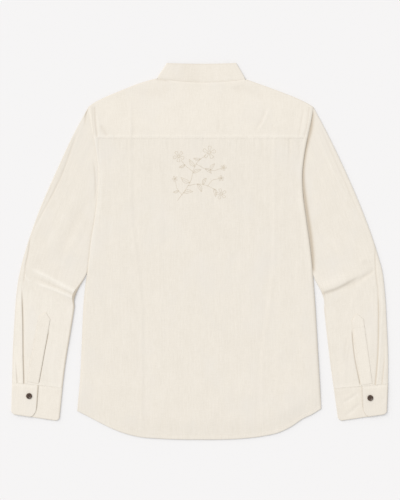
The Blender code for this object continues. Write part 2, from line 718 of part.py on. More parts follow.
class Sleeve:
    """Flattened sleeve tube between the armhole and the cuff."""

    def __init__(self, side, table):
        self.side = side
        self.edge = left_edge if side < 0 else right_edge
        outer_steps = [math.dist(a[:2], b[:2]) for a, b in zip(table, table[1:])]
        self.downs = [0.0] + list(np.cumsum(outer_steps))
        self.columns = list(zip(*table))
        self.crest = self.downs[ELBOW_CREST_ROW]
        self.foot = self.downs[ELBOW_FOOT_ROW]
        self.length = self.downs[-1]

    def edges(self, down):
        """Outer and inner edge points at a distance down the outer edge."""
        outer_x, outer_y, inner_x, inner_y = [through(self.downs, column, down) for column in self.columns]
        body = self.edge(inner_y) + self.side * SLEEVE_BODY_GAP
        inner_x = max(inner_x, body) if self.side > 0 else min(inner_x, body)
        return np.array((outer_x, outer_y)), np.array((inner_x, inner_y))

    def plan(self, down, share):
        """Place on the flat at a share of the way from outer to inner edge."""
        outer, inner = self.edges(down)
        point = mix(outer, inner, share)
        first_outer, first_inner = self.edges(0.0)
        seam_y = mix(first_outer[1], first_inner[1], share)
        seam_x = self.edge(seam_y) + self.side * SEAM_GAP
        straight_x = mix(first_outer[0], first_inner[0], share)
        bow = (seam_x - straight_x) * ease(1.0 - down / ARMHOLE_BOW_LENGTH)
        return point[0] + bow, point[1]

    def pleat_share(self, pleat, down):
        """Where a pleat lies across the sleeve."""
        at_armhole, start, at_cuff, starts_at = pleat[:4]
        start_down = mix(self.foot, self.length, starts_at)
        if down < start_down:
            return mix(at_armhole, start, down / start_down)
        return mix(start, at_cuff, (down - start_down) / (self.length - start_down))

    def top(self, down, share):
        """Height of the upper layer, with elbow ridge and cuff pleats."""
        lower = min(max((down - self.foot) / (self.length - self.foot), 0.0), 1.0)
        z = mix(SLEEVE_HEIGHT, SLEEVE_HEIGHT_AT_CUFF, lower)
        z -= SLEEVE_UNDERLAP_DROP * lower * ramp_between(UNDERLAP_RAMP, share)
        if down <= self.crest + 0.01:
            run = max(1.0 - (self.crest - down) / ELBOW_RIDGE_RUN, 0.0)
            across = ramp_between(ELBOW_RISES, share)
            across *= mix(1.0, ELBOW_EDGE_SHARE, ramp_between(ELBOW_FALLS, share))
            z += ELBOW_RIDGE * run * run * across
        for pleat in PLEATS:
            start_down = mix(self.foot, self.length, pleat[3])
            reach = ease((down - start_down) / PLEAT_FADE)
            away = self.pleat_share(pleat, down) - share
            if away > 0.0:
                z += pleat[4] * reach * max(1.0 - away / PLEAT_WIDTH, 0.0)
        return z

    def ring(self, down):
        """Outer and inner points round one section."""
        outer_edge, inner_edge = self.edges(down)
        width = float(np.linalg.norm(inner_edge - outer_edge))
        outside, inside = [], []

        def add(offset_out, z_out, offset_in, z_in):
            outside.append((*self.plan(down, offset_out / width), z_out))
            inside.append((*self.plan(down, offset_in / width), z_in))

        for at_end in (False, True):
            radius = 0.5 * self.top(down, 1.0 if at_end else 0.0)
            hollow = radius - SLEEVE_WALL
            for angle in EDGE_ANGLES[::-1] if at_end else EDGE_ANGLES:
                turn = math.radians(angle)
                out = radius - radius * math.cos(turn)
                into = radius - hollow * math.cos(turn)
                out, into = (width - out, width - into) if at_end else (out, into)
                add(out, radius + radius * math.sin(turn), into, radius + hollow * math.sin(turn))
            if not at_end:
                shares = []
                for pleat in PLEATS:
                    at = self.pleat_share(pleat, down)
                    shares += [at - PLEAT_STEP * 0.5, at + PLEAT_STEP * 0.5]
                for share in shares + list(TOP_COLUMNS):
                    z = self.top(down, share)
                    add(share * width, z, share * width, min(z - SLEEVE_WALL, SLEEVE_INSIDE_TOP))
        for share in BOTTOM_COLUMNS:
            add(share * width, 0.0, share * width, SLEEVE_WALL)
        return outside, inside

    def build(self, name):
        """Tube of rings, closer together at the elbow."""
        downs = [mix(0.0, self.crest, share) for share in SECTIONS_ABOVE_ELBOW] + [self.crest]
        downs += [mix(self.foot, self.length, share) for share in SECTIONS_BELOW_ELBOW]
        rings = [self.ring(down) for down in downs]
        return add_cloth(name, [ring[0] for ring in rings], [ring[1] for ring in rings], closed=True)

    def height_at(self, x, y):
        """Upper layer's height at a place on the flat, on the lower sleeve."""
        down = self.foot
        for _ in range(12):
            outer, inner = self.edges(down)
            span = inner - outer
            share = float(np.dot(np.array((x, y)) - outer, span) / np.dot(span, span))
            on_line = mix(outer, inner, share)
            down += float(on_line[1] - y)
        return self.top(down, share)


def build_placket(name, sleeve, base, tip):
    """Pointed strip that lies on the sleeve from the cuff seam upwards."""
    base = np.array(base)
    axis = np.array(tip) - base
    length = float(np.linalg.norm(axis))
    axis = axis / length
    across = np.array((axis[1], -axis[0]))
    rows = [(share * (length - PLACKET_POINT), 1.0) for share in PLACKET_ROWS]
    rows += [(length - PLACKET_POINT * (1.0 - along), share) for along, share in PLACKET_TIP_ROWS]
    outer, inner = [], []
    for along, share in rows:
        outer_row, inner_row = [], []
        for offset in PLACKET_COLUMNS:
            x, y = base + axis * along + across * offset * PLACKET_WIDTH * share
            z = sleeve.height_at(x, y) + SEAM_GAP
            outer_row.append((x, y, z + PLACKET_WALL))
            inner_row.append((x, y, z))
        outer.append(outer_row)
        inner.append(inner_row)
    return add_cloth(name, outer, inner)


def build_cuff(name, corners):
    """Cuff strip wrapped flat, with its buttoned end lapped over the other."""
    seam_outer, seam_inner = np.array(corners["seam_outer"]), np.array(corners["seam_inner"])
    free_outer, free_inner = np.array(corners["free_outer"]), np.array(corners["free_inner"])
    down = free_outer - seam_outer
    depth = float(np.linalg.norm(down))
    width = float(np.linalg.norm(seam_inner - seam_outer))
    seam_shift = SEAM_GAP / depth
    path = []
    lap_middle = CUFF_LAP_TOP_Z - 0.5 * CUFF_WALL
    for step in CUFF_END_STEPS + CUFF_TOP_STEPS:
        path.append((corners["lap_share"] * width - step, lap_middle, 1.0, 0.0, step))

    def fold(top_z, at_end):
        radius = 0.5 * top_z
        for angle in CUFF_FOLD_ANGLES if not at_end else CUFF_FOLD_ANGLES[::-1]:
            turn = math.radians(angle)
            centre = width - radius if at_end else radius
            sign = 1.0 if at_end else -1.0
            middle = radius - 0.5 * CUFF_WALL
            path.append(
                (
                    centre + sign * middle * math.cos(turn),
                    radius + middle * math.sin(turn),
                    math.sin(turn),
                    sign * math.cos(turn),
                    None,
                )
            )

    fold(CUFF_LAP_TOP_Z, False)
    for share in CUFF_BOTTOM_SHARES:
        path.append((share * width, 0.5 * CUFF_WALL, -1.0, 0.0, None))
    fold(CUFF_UNDERLAP_TOP_Z, True)
    for share in CUFF_UNDERLAP_SHARES:
        path.append((share * width, CUFF_UNDERLAP_TOP_Z - 0.5 * CUFF_WALL, 1.0, 0.0, None))
    outer, inner = [], []
    for offset, z, up, out, from_end in path:
        reach = 1.0
        if from_end is not None and from_end < CUFF_CORNER_RADIUS:
            missing = CUFF_CORNER_RADIUS - from_end
            cut = CUFF_CORNER_RADIUS - math.sqrt(CUFF_CORNER_RADIUS**2 - missing**2)
            reach = 1.0 - cut / depth
        half = 0.5 * CUFF_WALL
        outer_row, inner_row = [], []
        for share in CUFF_DEPTH_SHARES:
            along = mix(seam_shift, reach, share)
            for row, shift in ((outer_row, half), (inner_row, -half)):
                across = (offset + out * shift) / width
                point = mix(mix(seam_outer, seam_inner, across), mix(free_outer, free_inner, across), along)
                row.append((point[0], point[1], z + up * shift))
        outer.append(outer_row)
        inner.append(inner_row)
    return add_cloth(name, outer, inner)


def build_button(name, centre, bottom_z, radius, thickness):
    """Turned button with a rolled rim and a dished middle."""
    builder = bmesh.new()
    profile = [(out * radius * MM, 0.0, up * thickness * MM) for out, up in BUTTON_PROFILE]
    verts = [builder.verts.new(point) for point in profile]
    edges = [builder.edges.new(pair) for pair in zip(verts, verts[1:])]
    bmesh.ops.spin(
        builder,
        geom=verts + edges,
        cent=(0.0, 0.0, 0.0),
        axis=(0.0, 0.0, 1.0),
        angle=math.tau,
        steps=BUTTON_SEGMENTS,
        use_merge=True,
    )
    bmesh.ops.remove_doubles(builder, verts=builder.verts[:], dist=0.01 * MM)
    piece = add_object(name, builder, BUTTON_COLOUR, BUTTON_ROUGHNESS)
    piece.location = (centre[0] * MM, centre[1] * MM, bottom_z * MM)
    return piece


def main():
    """Build the shirt, layer by layer from the surface up."""
    for piece in list(bpy.data.objects):
        bpy.data.objects.remove(piece)
    for index in range(FRONT_BUTTONS):
        y = FRONT_BUTTON_TOP_Y - index * FRONT_BUTTON_SPACING
        name = f"button_front_{index + 1}"
        build_button(name, (CENTRE_X, y), 0.0, FRONT_BUTTON_RADIUS, FRONT_BUTTON_THICKNESS)
    build_front("front_left", -1)
    build_front("front_right", 1)
    build_back()
    build_yoke()
    build_band()
    left_sleeve = Sleeve(-1, LEFT_SLEEVE)
    right_sleeve = Sleeve(1, RIGHT_SLEEVE)
    left_sleeve.build("sleeve_left")
    right_sleeve.build("sleeve_right")
    build_placket("placket_left", left_sleeve, **LEFT_PLACKET)
    build_placket("placket_right", right_sleeve, **RIGHT_PLACKET)
    build_cuff("cuff_left", LEFT_CUFF)
    build_cuff("cuff_right", RIGHT_CUFF)
    button_z = CUFF_LAP_TOP_Z + SEAM_GAP
    build_button("button_cuff_left", LEFT_CUFF_BUTTON, button_z, CUFF_BUTTON_RADIUS, CUFF_BUTTON_THICKNESS)
    build_button("button_cuff_right", RIGHT_CUFF_BUTTON, button_z, CUFF_BUTTON_RADIUS, CUFF_BUTTON_THICKNESS)


main()
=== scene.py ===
"""Looks of a long sleeved shirt with a band collar, laid flat with its back up.

Tables and sizes are in millimetres on the flat: x runs to the right, y towards the collar and z up from
the surface that the shirt lies on. The meshes are in metres. The shirt's left side is at -x.
"""

import logging
import math
from dataclasses import dataclass
from enum import Enum
from typing import Callable, Sequence

import bmesh
import bpy
import numpy as np
from mathutils import Matrix, Vector


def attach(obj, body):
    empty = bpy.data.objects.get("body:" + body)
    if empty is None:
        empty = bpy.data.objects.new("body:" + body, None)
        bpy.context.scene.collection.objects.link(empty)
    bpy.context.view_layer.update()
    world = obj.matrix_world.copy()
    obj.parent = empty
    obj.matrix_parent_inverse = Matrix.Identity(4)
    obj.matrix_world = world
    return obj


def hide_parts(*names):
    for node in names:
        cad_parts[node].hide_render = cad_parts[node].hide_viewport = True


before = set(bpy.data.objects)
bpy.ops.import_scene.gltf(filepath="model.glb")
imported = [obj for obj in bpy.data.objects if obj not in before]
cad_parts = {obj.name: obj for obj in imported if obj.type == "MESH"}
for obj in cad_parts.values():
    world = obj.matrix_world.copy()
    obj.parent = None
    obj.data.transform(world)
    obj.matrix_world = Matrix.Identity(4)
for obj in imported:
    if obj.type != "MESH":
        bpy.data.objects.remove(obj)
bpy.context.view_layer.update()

MM = 0.001
LOG = logging.getLogger("shirt")
Array = np.ndarray
Line = Sequence[tuple[float, float]]
Point = tuple[float, float]
Colour = tuple[float, float, float]
Node = bpy.types.Node
Socket = bpy.types.NodeSocket

# Cloth as it shows: one layer of linen, two for yoke, band and cuffs
SINGLE_WALL = 0.9
DOUBLE_WALL = 1.4

# Walls of the CAD solids that the cloth follows, and the gap at each seam
CAD_BACK_WALL = 1.5
CAD_YOKE_WALL = 2.2
CAD_FRONT_WALL = 1.1
CAD_BAND_WALL = 1.6
SEAM_GAP = 0.3

# Body outline, from the shoulder point down to the hem corner
BODY_EDGES = [
    # y, left x, right x
    (303, -234, 239.5),
    (275, -229.5, 234.5),
    (233, -222, 225.5),
    (200, -216.5, 219.5),
    (160, -213, 215.5),
    (125, -214.5, 216.5),
    (65, -221, 224),
    (23, -228, 230),
    (-20, -233, 235),
    (-103, -243, 242),
    (-187, -247, 247),
    (-271, -251, 252),
    (-336, -257, 255.5),
]
HEM_LINE = [
    # x, y
    (-257, -336),
    (-241, -344),
    (-216, -357),
    (-188, -371),
    (-157, -383),
    (-125, -390.5),
    (-83, -394),
    (1, -396),
    (85, -394),
    (131, -389),
    (169, -380),
    (194, -367.5),
    (217, -352),
    (236, -343),
    (255.5, -331),
]
LEFT_SHOULDER = [
    # x, y
    (-234, 302.5),
    (-224, 310),
    (-199, 323),
    (-167, 336.5),
    (-125, 353),
    (-90, 363),
]
RIGHT_SHOULDER = [
    # x, y
    (97, 361),
    (127, 350.5),
    (169, 335),
    (211, 318),
    (228, 309.5),
    (239.5, 302.5),
]
LEFT_SLEEVE = [
    # outer x, outer y, inner x, inner y
    (-234, 302, -214.5, 128),
    (-264, 247, -216.5, 101),
    (-300, 170, -220.5, 65),
    (-333, 95, -227, 28),
    (-358, 26, -233.5, -15),
    (-373, -24, -243, -58),
    (-377, -41, -257, -83),
    (-378, -45, -259.5, -89),
    (-384, -82, -263, -119),
    (-389, -145, -271, -170),
    (-393, -220, -282, -237),
    (-394, -275.5, -288, -286.5),
]
RIGHT_SLEEVE = [
    # outer x, outer y, inner x, inner y
    (239.5, 302, 216, 128),
    (267, 250, 219.5, 99),
    (303, 175, 225, 63),
    (337, 97, 230.5, 23),
    (363, 28, 235.5, -19),
    (378, -20, 243, -61),
    (382, -34, 255, -84),
    (383, -38.5, 257.5, -90),
    (389, -84, 262, -126),
    (393, -149, 268, -180),
    (396, -222, 276, -245),
    (396, -278.5, 282, -288.5),
]

# Places of the seams, the neck and the band
CENTRE_X = 3.5
YOKE_SEAM_Y = 237.0
SHOULDER_SEAM_DROP = 28.0
NECK_Y = 361.0
NECK_HALF_WIDTH = 93.5
NECK_DROP = 69.0
BACK_NECK_DIP = 7.6
BAND_TOP_CENTRE_X = 4.0
BAND_TOP_Y = 395.0
BAND_TOP_HALF_WIDTH = 73.0
BAND_TOP_DROP = 68.0
BAND_BACK_BOTTOM_Z = 3.7
BAND_END_ROUNDING = 12.0
STRAIGHT_NECK_ANGLE = 78.0

FRONT_BUTTON_COUNT = 7
FRONT_BUTTON_TOP_Y = 242.0
FRONT_BUTTON_SPACING = 88.5


class CreaseKind(Enum):
    """How the cloth goes over a crease."""

    SOFT = "the same on both sides"
    STEP = "a lapped fold, high on the left of its direction and dropping on the right"


class Facing(Enum):
    """The side of a grid of points that is the outside of the cloth."""

    UP = "up"
    DOWN = "down"
    OUT = "away from the middle of a tube"


class SmoothTable:
    """Smooth curve through the values of a table."""

    def __init__(self, knots: Sequence[float], values: Sequence[float]) -> None:
        order = np.argsort(knots)
        self.knots = np.asarray(knots, float)[order]
        self.values = np.asarray(values, float)[order]
        self.slopes = np.gradient(self.values, self.knots)

    def __call__(self, at: Array | float) -> Array:
        """Read the curve.

        Args:
            at: Places along the knots; past the ends the end value holds.

        Returns:
            The values there.
        """
        at = np.clip(np.asarray(at, float), self.knots[0], self.knots[-1])
        row = np.clip(np.searchsorted(self.knots, at) - 1, 0, len(self.knots) - 2)
        span = self.knots[row + 1] - self.knots[row]
        t = (at - self.knots[row]) / span
        start = (2 * t**3 - 3 * t**2 + 1) * self.values[row] + (t**3 - 2 * t**2 + t) * span * self.slopes[row]
        end = (3 * t**2 - 2 * t**3) * self.values[row + 1] + (t**3 - t**2) * span * self.slopes[row + 1]
        return start + end


def ease(share: Array | float) -> Array:
    """Smooth step from 0 to 1."""
    share = np.clip(share, 0.0, 1.0)
    return share * share * (3.0 - 2.0 * share)


def mix(start: Array | float, end: Array | float, share: Array | float) -> Array:
    """Value or point at a share of the way from start to end."""
    return start + (end - start) * share


def quarter_round(distance: Array | float, radius: Array | float) -> Array:
    """Height share of a rounded edge: 0 at the edge and 1 from its radius on."""
    away = 1.0 - np.clip(np.asarray(distance, float) / radius, 0.0, 1.0)
    return np.sqrt(1.0 - away * away)


def bell(distance: Array | float, width: Array | float, power: int = 2) -> Array:
    """Bell curve of a distance, 1 in the middle, with a flatter top at a power of 4."""
    return np.exp(-((distance / width) ** power))


def stronger(painted_shading: Array, other: Array) -> Array:
    """The one of two painted shadings, painted shade or painted highlight, that changes the cloth more."""
    return np.where(np.abs(other) > np.abs(painted_shading), other, painted_shading)


def spread(start: float, end: float, step: float) -> Array:
    """Evenly spaced places from start to end, no further apart than step."""
    return np.linspace(start, end, max(2, int(math.ceil(abs(end - start) / step)) + 1))


def smooth_path(points: Array, count: int) -> Array:
    """A line through points with its corners rounded, as a count of points evenly spaced along it."""
    steps = np.concatenate([[0.0], np.cumsum(np.linalg.norm(np.diff(points, axis=0), axis=1))])
    at = np.linspace(0.0, steps[-1], count)
    return np.stack([SmoothTable(steps, points[:, axis])(at) for axis in (0, 1)], axis=-1)


LEFT_EDGE = SmoothTable([row[0] for row in BODY_EDGES], [row[1] for row in BODY_EDGES])
RIGHT_EDGE = SmoothTable([row[0] for row in BODY_EDGES], [row[2] for row in BODY_EDGES])
HEM = SmoothTable(*zip(*HEM_LINE))
LEFT_SHOULDER_LINE = SmoothTable(*zip(*LEFT_SHOULDER))
RIGHT_SHOULDER_LINE = SmoothTable(*zip(*RIGHT_SHOULDER))


def side_edge(side: int) -> SmoothTable:
    """Outline of one side of the body."""
    return LEFT_EDGE if side < 0 else RIGHT_EDGE


def neck_corner(side: int) -> Point:
    """Where a shoulder fold meets the collar band."""
    return LEFT_SHOULDER[-1] if side < 0 else RIGHT_SHOULDER[0]


@dataclass(frozen=True)
class Crease:
    """A soft trough or ridge along a hand placed line of the cloth.

    height is in mm and below 0 for a trough. Its painted shading darkens the cloth in a tight crease as
    painted shade, and lightens it below 0 as a painted highlight.
    """

    line: Line
    height: float
    width: float
    painted_shading: float = 0.0
    fade_in: float = 0.3
    fade_out: float = 0.3
    kind: CreaseKind = CreaseKind.SOFT

    def profile(self, x: Array, y: Array) -> tuple[Array, Array]:
        """Height and painted shading that the crease gives to points of the cloth.

        Args:
            x: Places across the cloth.
            y: Places along it.

        Returns:
            Height in mm and tint from 0 to 1, of the same shape.
        """
        height, painted_shading = np.zeros(np.shape(x)), np.zeros(np.shape(x))
        line = smooth_path(np.asarray(self.line, float), 10 * len(self.line))
        reach = self.width * (9.0 if self.kind is CreaseKind.STEP else 4.0)
        low, high = line.min(0) - reach, line.max(0) + reach
        near = (x > low[0]) & (x < high[0]) & (y > low[1]) & (y < high[1])
        if not near.any():
            return height, painted_shading
        points = np.stack([x[near], y[near]], axis=-1)
        starts, spans = line[:-1], np.diff(line, axis=0)
        lengths = np.linalg.norm(spans, axis=1)
        offset = points[:, None] - starts[None]
        t = np.clip((offset * spans).sum(-1) / lengths**2, 0.0, 1.0)
        away = offset - t[..., None] * spans
        nearest = np.argmin((away**2).sum(-1), axis=1)
        pick = np.arange(len(points))
        away = away[pick, nearest]
        distance = np.linalg.norm(away, axis=1)
        run = np.concatenate([[0.0], np.cumsum(lengths)])
        along = (run[nearest] + t[pick, nearest] * lengths[nearest]) / run[-1]
        taper = ease(along / max(self.fade_in, 1e-3)) * ease((1.0 - along) / max(self.fade_out, 1e-3))
        soft = bell(distance, self.width)
        if self.kind is CreaseKind.SOFT:
            height[near] = self.height * taper * soft
        else:
            left = spans[nearest, 0] * away[:, 1] - spans[nearest, 1] * away[:, 0]
            signed = np.sign(left) * distance
            raised = ease(signed / self.width + 0.5) * bell(np.maximum(signed, 0.0), 4.0 * self.width)
            sunk = 0.35 * bell(signed + 0.9 * self.width, self.width)
            height[near] = self.height * taper * (raised - sunk)
            soft = bell(signed + 0.3 * self.width, 0.8 * self.width)
        # Painted shade along the crease, a painted highlight where its value is below 0
        painted_shading[near] = self.painted_shading * taper * soft
        return height, painted_shading


@dataclass(frozen=True)
class Relief:
    """All creases of one piece of cloth."""

    creases: Sequence[Crease] = ()

    def at(self, x: Array, y: Array) -> tuple[Array, Array]:
        """Height and painted shading of all creases together at points of the cloth."""
        height, painted_shading = np.zeros(np.shape(x)), np.zeros(np.shape(x))
        for crease in self.creases:
            more, darker = crease.profile(x, y)
            height += more
            painted_shading = stronger(painted_shading, darker)
        return height, painted_shading


def relief(*rows: Sequence[object]) -> Relief:
    """Creases from a table; a row that ends early takes the usual values for the rest."""
    return Relief([Crease(*row) for row in rows])


def irregular(at: Array, spacing: float, seed: int) -> Array:
    """Uneven smooth wave between about -1 and 1, for puckers and ripples.

    Args:
        at: Places along the wave in mm.
        spacing: Usual distance between two crests in mm.
        seed: Picks one wave out of many.

    Returns:
        The wave's height at each place.
    """
    draw = np.random.default_rng(seed)
    wave = np.zeros(np.shape(at))
    for share in (0.62, 0.83, 1.0, 1.27, 1.7):
        wave += np.sin(math.tau * np.asarray(at) / (spacing * share) + draw.uniform(0.0, math.tau))
    return wave / 3.2


class BodyForm:
    """Heights of the laid out body, shared by back, yoke and fronts."""

    loft_middle = 4.45
    loft_side = 3.9
    loft_neck = 3.7
    loft_hem = 1.45
    side_slope = 70.0
    hem_slope = 45.0
    neck_slope_from_y = 285.0
    neck_slope = 60.0
    placket_flat = 19.4
    placket_end = 55.0
    button_lift_height = 2.5
    lift_starts = (302.0, 246.0)
    lift_ends = (-298.0, -388.0)
    placket_rise = 1.05
    fold_bend_length = 260.0
    folds = [
        # side, x at the yoke, y of the bend, x at the hem, ridge, valley, half width
        (-1, -145.0, -10.0, -122.0, 0.36, 0.30, 3.4),
        (1, 157.0, -130.0, 132.0, 0.30, 0.28, 4.0),
    ]

    def button_lift(self, y: Array) -> Array:
        """How far the front buttons hold the placket off the surface."""
        start = ease((self.lift_starts[0] - y) / (self.lift_starts[0] - self.lift_starts[1]))
        end = ease((y - self.lift_ends[1]) / (self.lift_ends[0] - self.lift_ends[1]))
        return self.button_lift_height * start * end

    def placket_ramp(self, x: Array) -> Array:
        """1 over the lapped fronts, falling softly to 0 on each side of them."""
        return 1.0 - ease((np.abs(x - CENTRE_X) - self.placket_flat) / (self.placket_end - self.placket_flat))

    def front_bottom(self, x: Array, y: Array, side: int) -> Array:
        """Outer, lower side of a front; the right one lies on the left one."""
        over = 0.0 if side < 0 else CAD_FRONT_WALL + SEAM_GAP
        return self.placket_ramp(x) * (self.button_lift(y) + over)

    def fold_height(self, x: Array, y: Array) -> Array:
        """Ridges and valleys of the long folds of the back."""
        rise = np.zeros(np.shape(x))
        for side, at_yoke, bend, at_hem, ridge, valley, half in self.folds:
            line = mix(at_yoke, at_hem, ease((bend - y) / self.fold_bend_length + 0.5))
            away = (x - line) * side
            rise += ridge * bell(away, half)
            rise -= valley * bell(away + 2.2 * half, 1.5 * half)
        return rise

    def inside(self, x: Array, y: Array) -> Array:
        """Inner side of back and yoke."""
        side = np.minimum(x - LEFT_EDGE(y), RIGHT_EDGE(y) - x)
        z = mix(self.loft_side, self.loft_middle, ease(side / self.side_slope))
        z = mix(z, self.loft_neck, ease((y - self.neck_slope_from_y) / self.neck_slope))
        z = z + self.fold_height(x, y) * ease(side / 30.0) * ease((300.0 - y) / 60.0)
        hem = y - HEM(x)
        z = mix(self.loft_hem, z, ease(hem / self.hem_slope))
        over_placket = self.placket_rise * bell(x - CENTRE_X, 85.0)
        return z + over_placket * ease((330.0 - y) / 90.0) * ease((hem + 10.0) / 90.0)

    @staticmethod
    def back_neck_y(x: Array) -> Array:
        """Back neck seam, which dips a little between the two shoulders."""
        share = (x - CENTRE_X) / NECK_HALF_WIDTH
        shoulders = mix(LEFT_SHOULDER[-1][1], RIGHT_SHOULDER[0][1], 0.5 + 0.5 * share)
        return shoulders - BACK_NECK_DIP * (1.0 - share * share)

    @staticmethod
    def neck_point(angle: Array, side: int) -> Array:
        """Points of the front neck seam; 0 is at the shoulder and 90 at the centre front."""
        turn = np.radians(angle)
        x = CENTRE_X + side * NECK_HALF_WIDTH * np.cos(turn)
        return np.stack([x, NECK_Y - NECK_DROP * np.sin(turn)], axis=-1)

    @staticmethod
    def band_top_point(angle: Array, side: int) -> Array:
        """Points of the band's free edge opposite the front neck seam."""
        turn = np.radians(angle)
        x = BAND_TOP_CENTRE_X + side * BAND_TOP_HALF_WIDTH * np.cos(turn)
        return np.stack([x, BAND_TOP_Y - BAND_TOP_DROP * np.sin(turn)], axis=-1)

    def near_centre_front(self, distance: float, side: int) -> Array:
        """Point of the neck seam a short way from the centre front, where the seam is straight."""
        centre = self.neck_point(90.0, side)
        end = self.neck_point(STRAIGHT_NECK_ANGLE, side)
        return mix(centre, end, distance / abs(end[0] - centre[0]))

    @staticmethod
    def seam_angle(side: int) -> float:
        """Angle of the neck seam where the forward shoulder seam meets it."""
        return math.degrees(math.asin((NECK_Y - neck_corner(side)[1] + SHOULDER_SEAM_DROP) / NECK_DROP))

    @staticmethod
    def tucked_x(share: Array, y: Array, side: int) -> Array:
        """Place across the underside of a shoulder, from the armhole at 0 to the neck seam at 1."""
        reach = np.clip((NECK_Y - y) / NECK_DROP, 0.0, 1.0)
        seam = neck_corner(side)[0] - side * NECK_HALF_WIDTH * (1.0 - np.sqrt(1.0 - reach * reach))
        return mix(side_edge(side)(y), seam + side * 0.5, share)

    @staticmethod
    def shoulder_fold(share: Array, side: int) -> tuple[Array, Array]:
        """Points of a shoulder fold, from the armhole at 0 to the neck at 1."""
        line = LEFT_SHOULDER_LINE if side < 0 else RIGHT_SHOULDER_LINE
        y = np.full(np.shape(share), NECK_Y)
        x = y
        for _ in range(6):
            x = mix(side_edge(side)(y), neck_corner(side)[0], share)
            y = line(x)
        return x, y


BODY = BodyForm()


class NodeBuilder:
    """Short calls for building a shader tree."""

    def __init__(self, tree: bpy.types.NodeTree) -> None:
        self.tree = tree

    def node(self, kind: str, **settings: object) -> Node:
        """Add a node and set its properties."""
        made = self.tree.nodes.new(kind)
        for name, value in settings.items():
            setattr(made, name, value)
        return made

    def feed(self, node: Node, values: dict[str | int, object]) -> None:
        """Link a socket or set a plain value at each of these inputs of a node."""
        for name, value in values.items():
            if isinstance(value, Socket):
                self.tree.links.new(value, node.inputs[name])
            else:
                node.inputs[name].default_value = value

    def surface(self, values: dict[str, object]) -> None:
        """Feed the tree's own surface shader."""
        self.feed(self.tree.nodes["Principled BSDF"], values)

    def math(self, operation: str, *values: object) -> Socket:
        """Result of a Math node."""
        made = self.node("ShaderNodeMath", operation=operation)
        self.feed(made, dict(enumerate(values)))
        return made.outputs[0]

    def noise(self, place: Socket, scale: Sequence[float], detail: float, rough: float) -> Socket:
        """Noise stretched by its scale on each axis, as a value."""
        stretch = self.node("ShaderNodeVectorMath", operation="MULTIPLY")
        self.feed(stretch, {0: place, 1: (*scale, 1.0)[:3]})
        made = self.node("ShaderNodeTexNoise")
        values = {"Scale": 1.0, "Detail": detail, "Roughness": rough, "Vector": stretch.outputs[0]}
        self.feed(made, values)
        return made.outputs[0]

    def weigh(self, base: float, parts: Sequence[tuple[Socket, float]]) -> Socket:
        """Base plus each part's distance from its middle, times its weight."""
        total: object = base
        for part, weight in parts:
            away = self.math("SUBTRACT", part, 0.5)
            total = self.math("MULTIPLY_ADD", away, weight, total)
        return total

    def stretch(self, value: Socket, low: float, high: float, ends: str = "From") -> Socket:
        """Value from 0 to 1 between low and high, or with the ends To, from low to high between 0 and 1."""
        made = self.node("ShaderNodeMapRange")
        self.feed(made, {"Value": value, f"{ends} Min": low, f"{ends} Max": high})
        return made.outputs[0]

    def blend(self, share: Socket, first: object, second: Sequence[float], clamp: bool = True) -> Socket:
        """Colour from a plain or linked first one to a plain second one, or beyond them without the clamp."""
        made = self.node("ShaderNodeMix", data_type="RGBA", clamp_factor=clamp)
        start, end = [index for index, socket in enumerate(made.inputs) if socket.type == "RGBA"]
        linked = isinstance(first, Socket)
        self.feed(made, {"Factor": share, start: first if linked else (*first, 1.0), end: (*second, 1.0)})
        return [socket for socket in made.outputs if socket.type == "RGBA"][0]

    def bump(self, height: Socket, strength: float, distance: float, under: Socket | None = None) -> Socket:
        """Normal that a height gives, on top of another one."""
        made = self.node("ShaderNodeBump")
        self.feed(made, {"Strength": strength, "Distance": distance, "Height": height})
        if under:
            self.feed(made, {"Normal": under})
        return made.outputs["Normal"]


@dataclass(frozen=True)
class Finish:
    """Look of a surface, with a name for its material."""

    name: str

    def material(self) -> bpy.types.Material:
        """Make the material once and return it."""
        known = bpy.data.materials.get(self.name)
        if known:
            return known
        material = bpy.data.materials.new(self.name)
        material.use_nodes = True
        self.dress(NodeBuilder(material.node_tree))
        return material

    def dress(self, tree: NodeBuilder) -> None:
        """Build the nodes of this kind of finish."""
        raise NotImplementedError


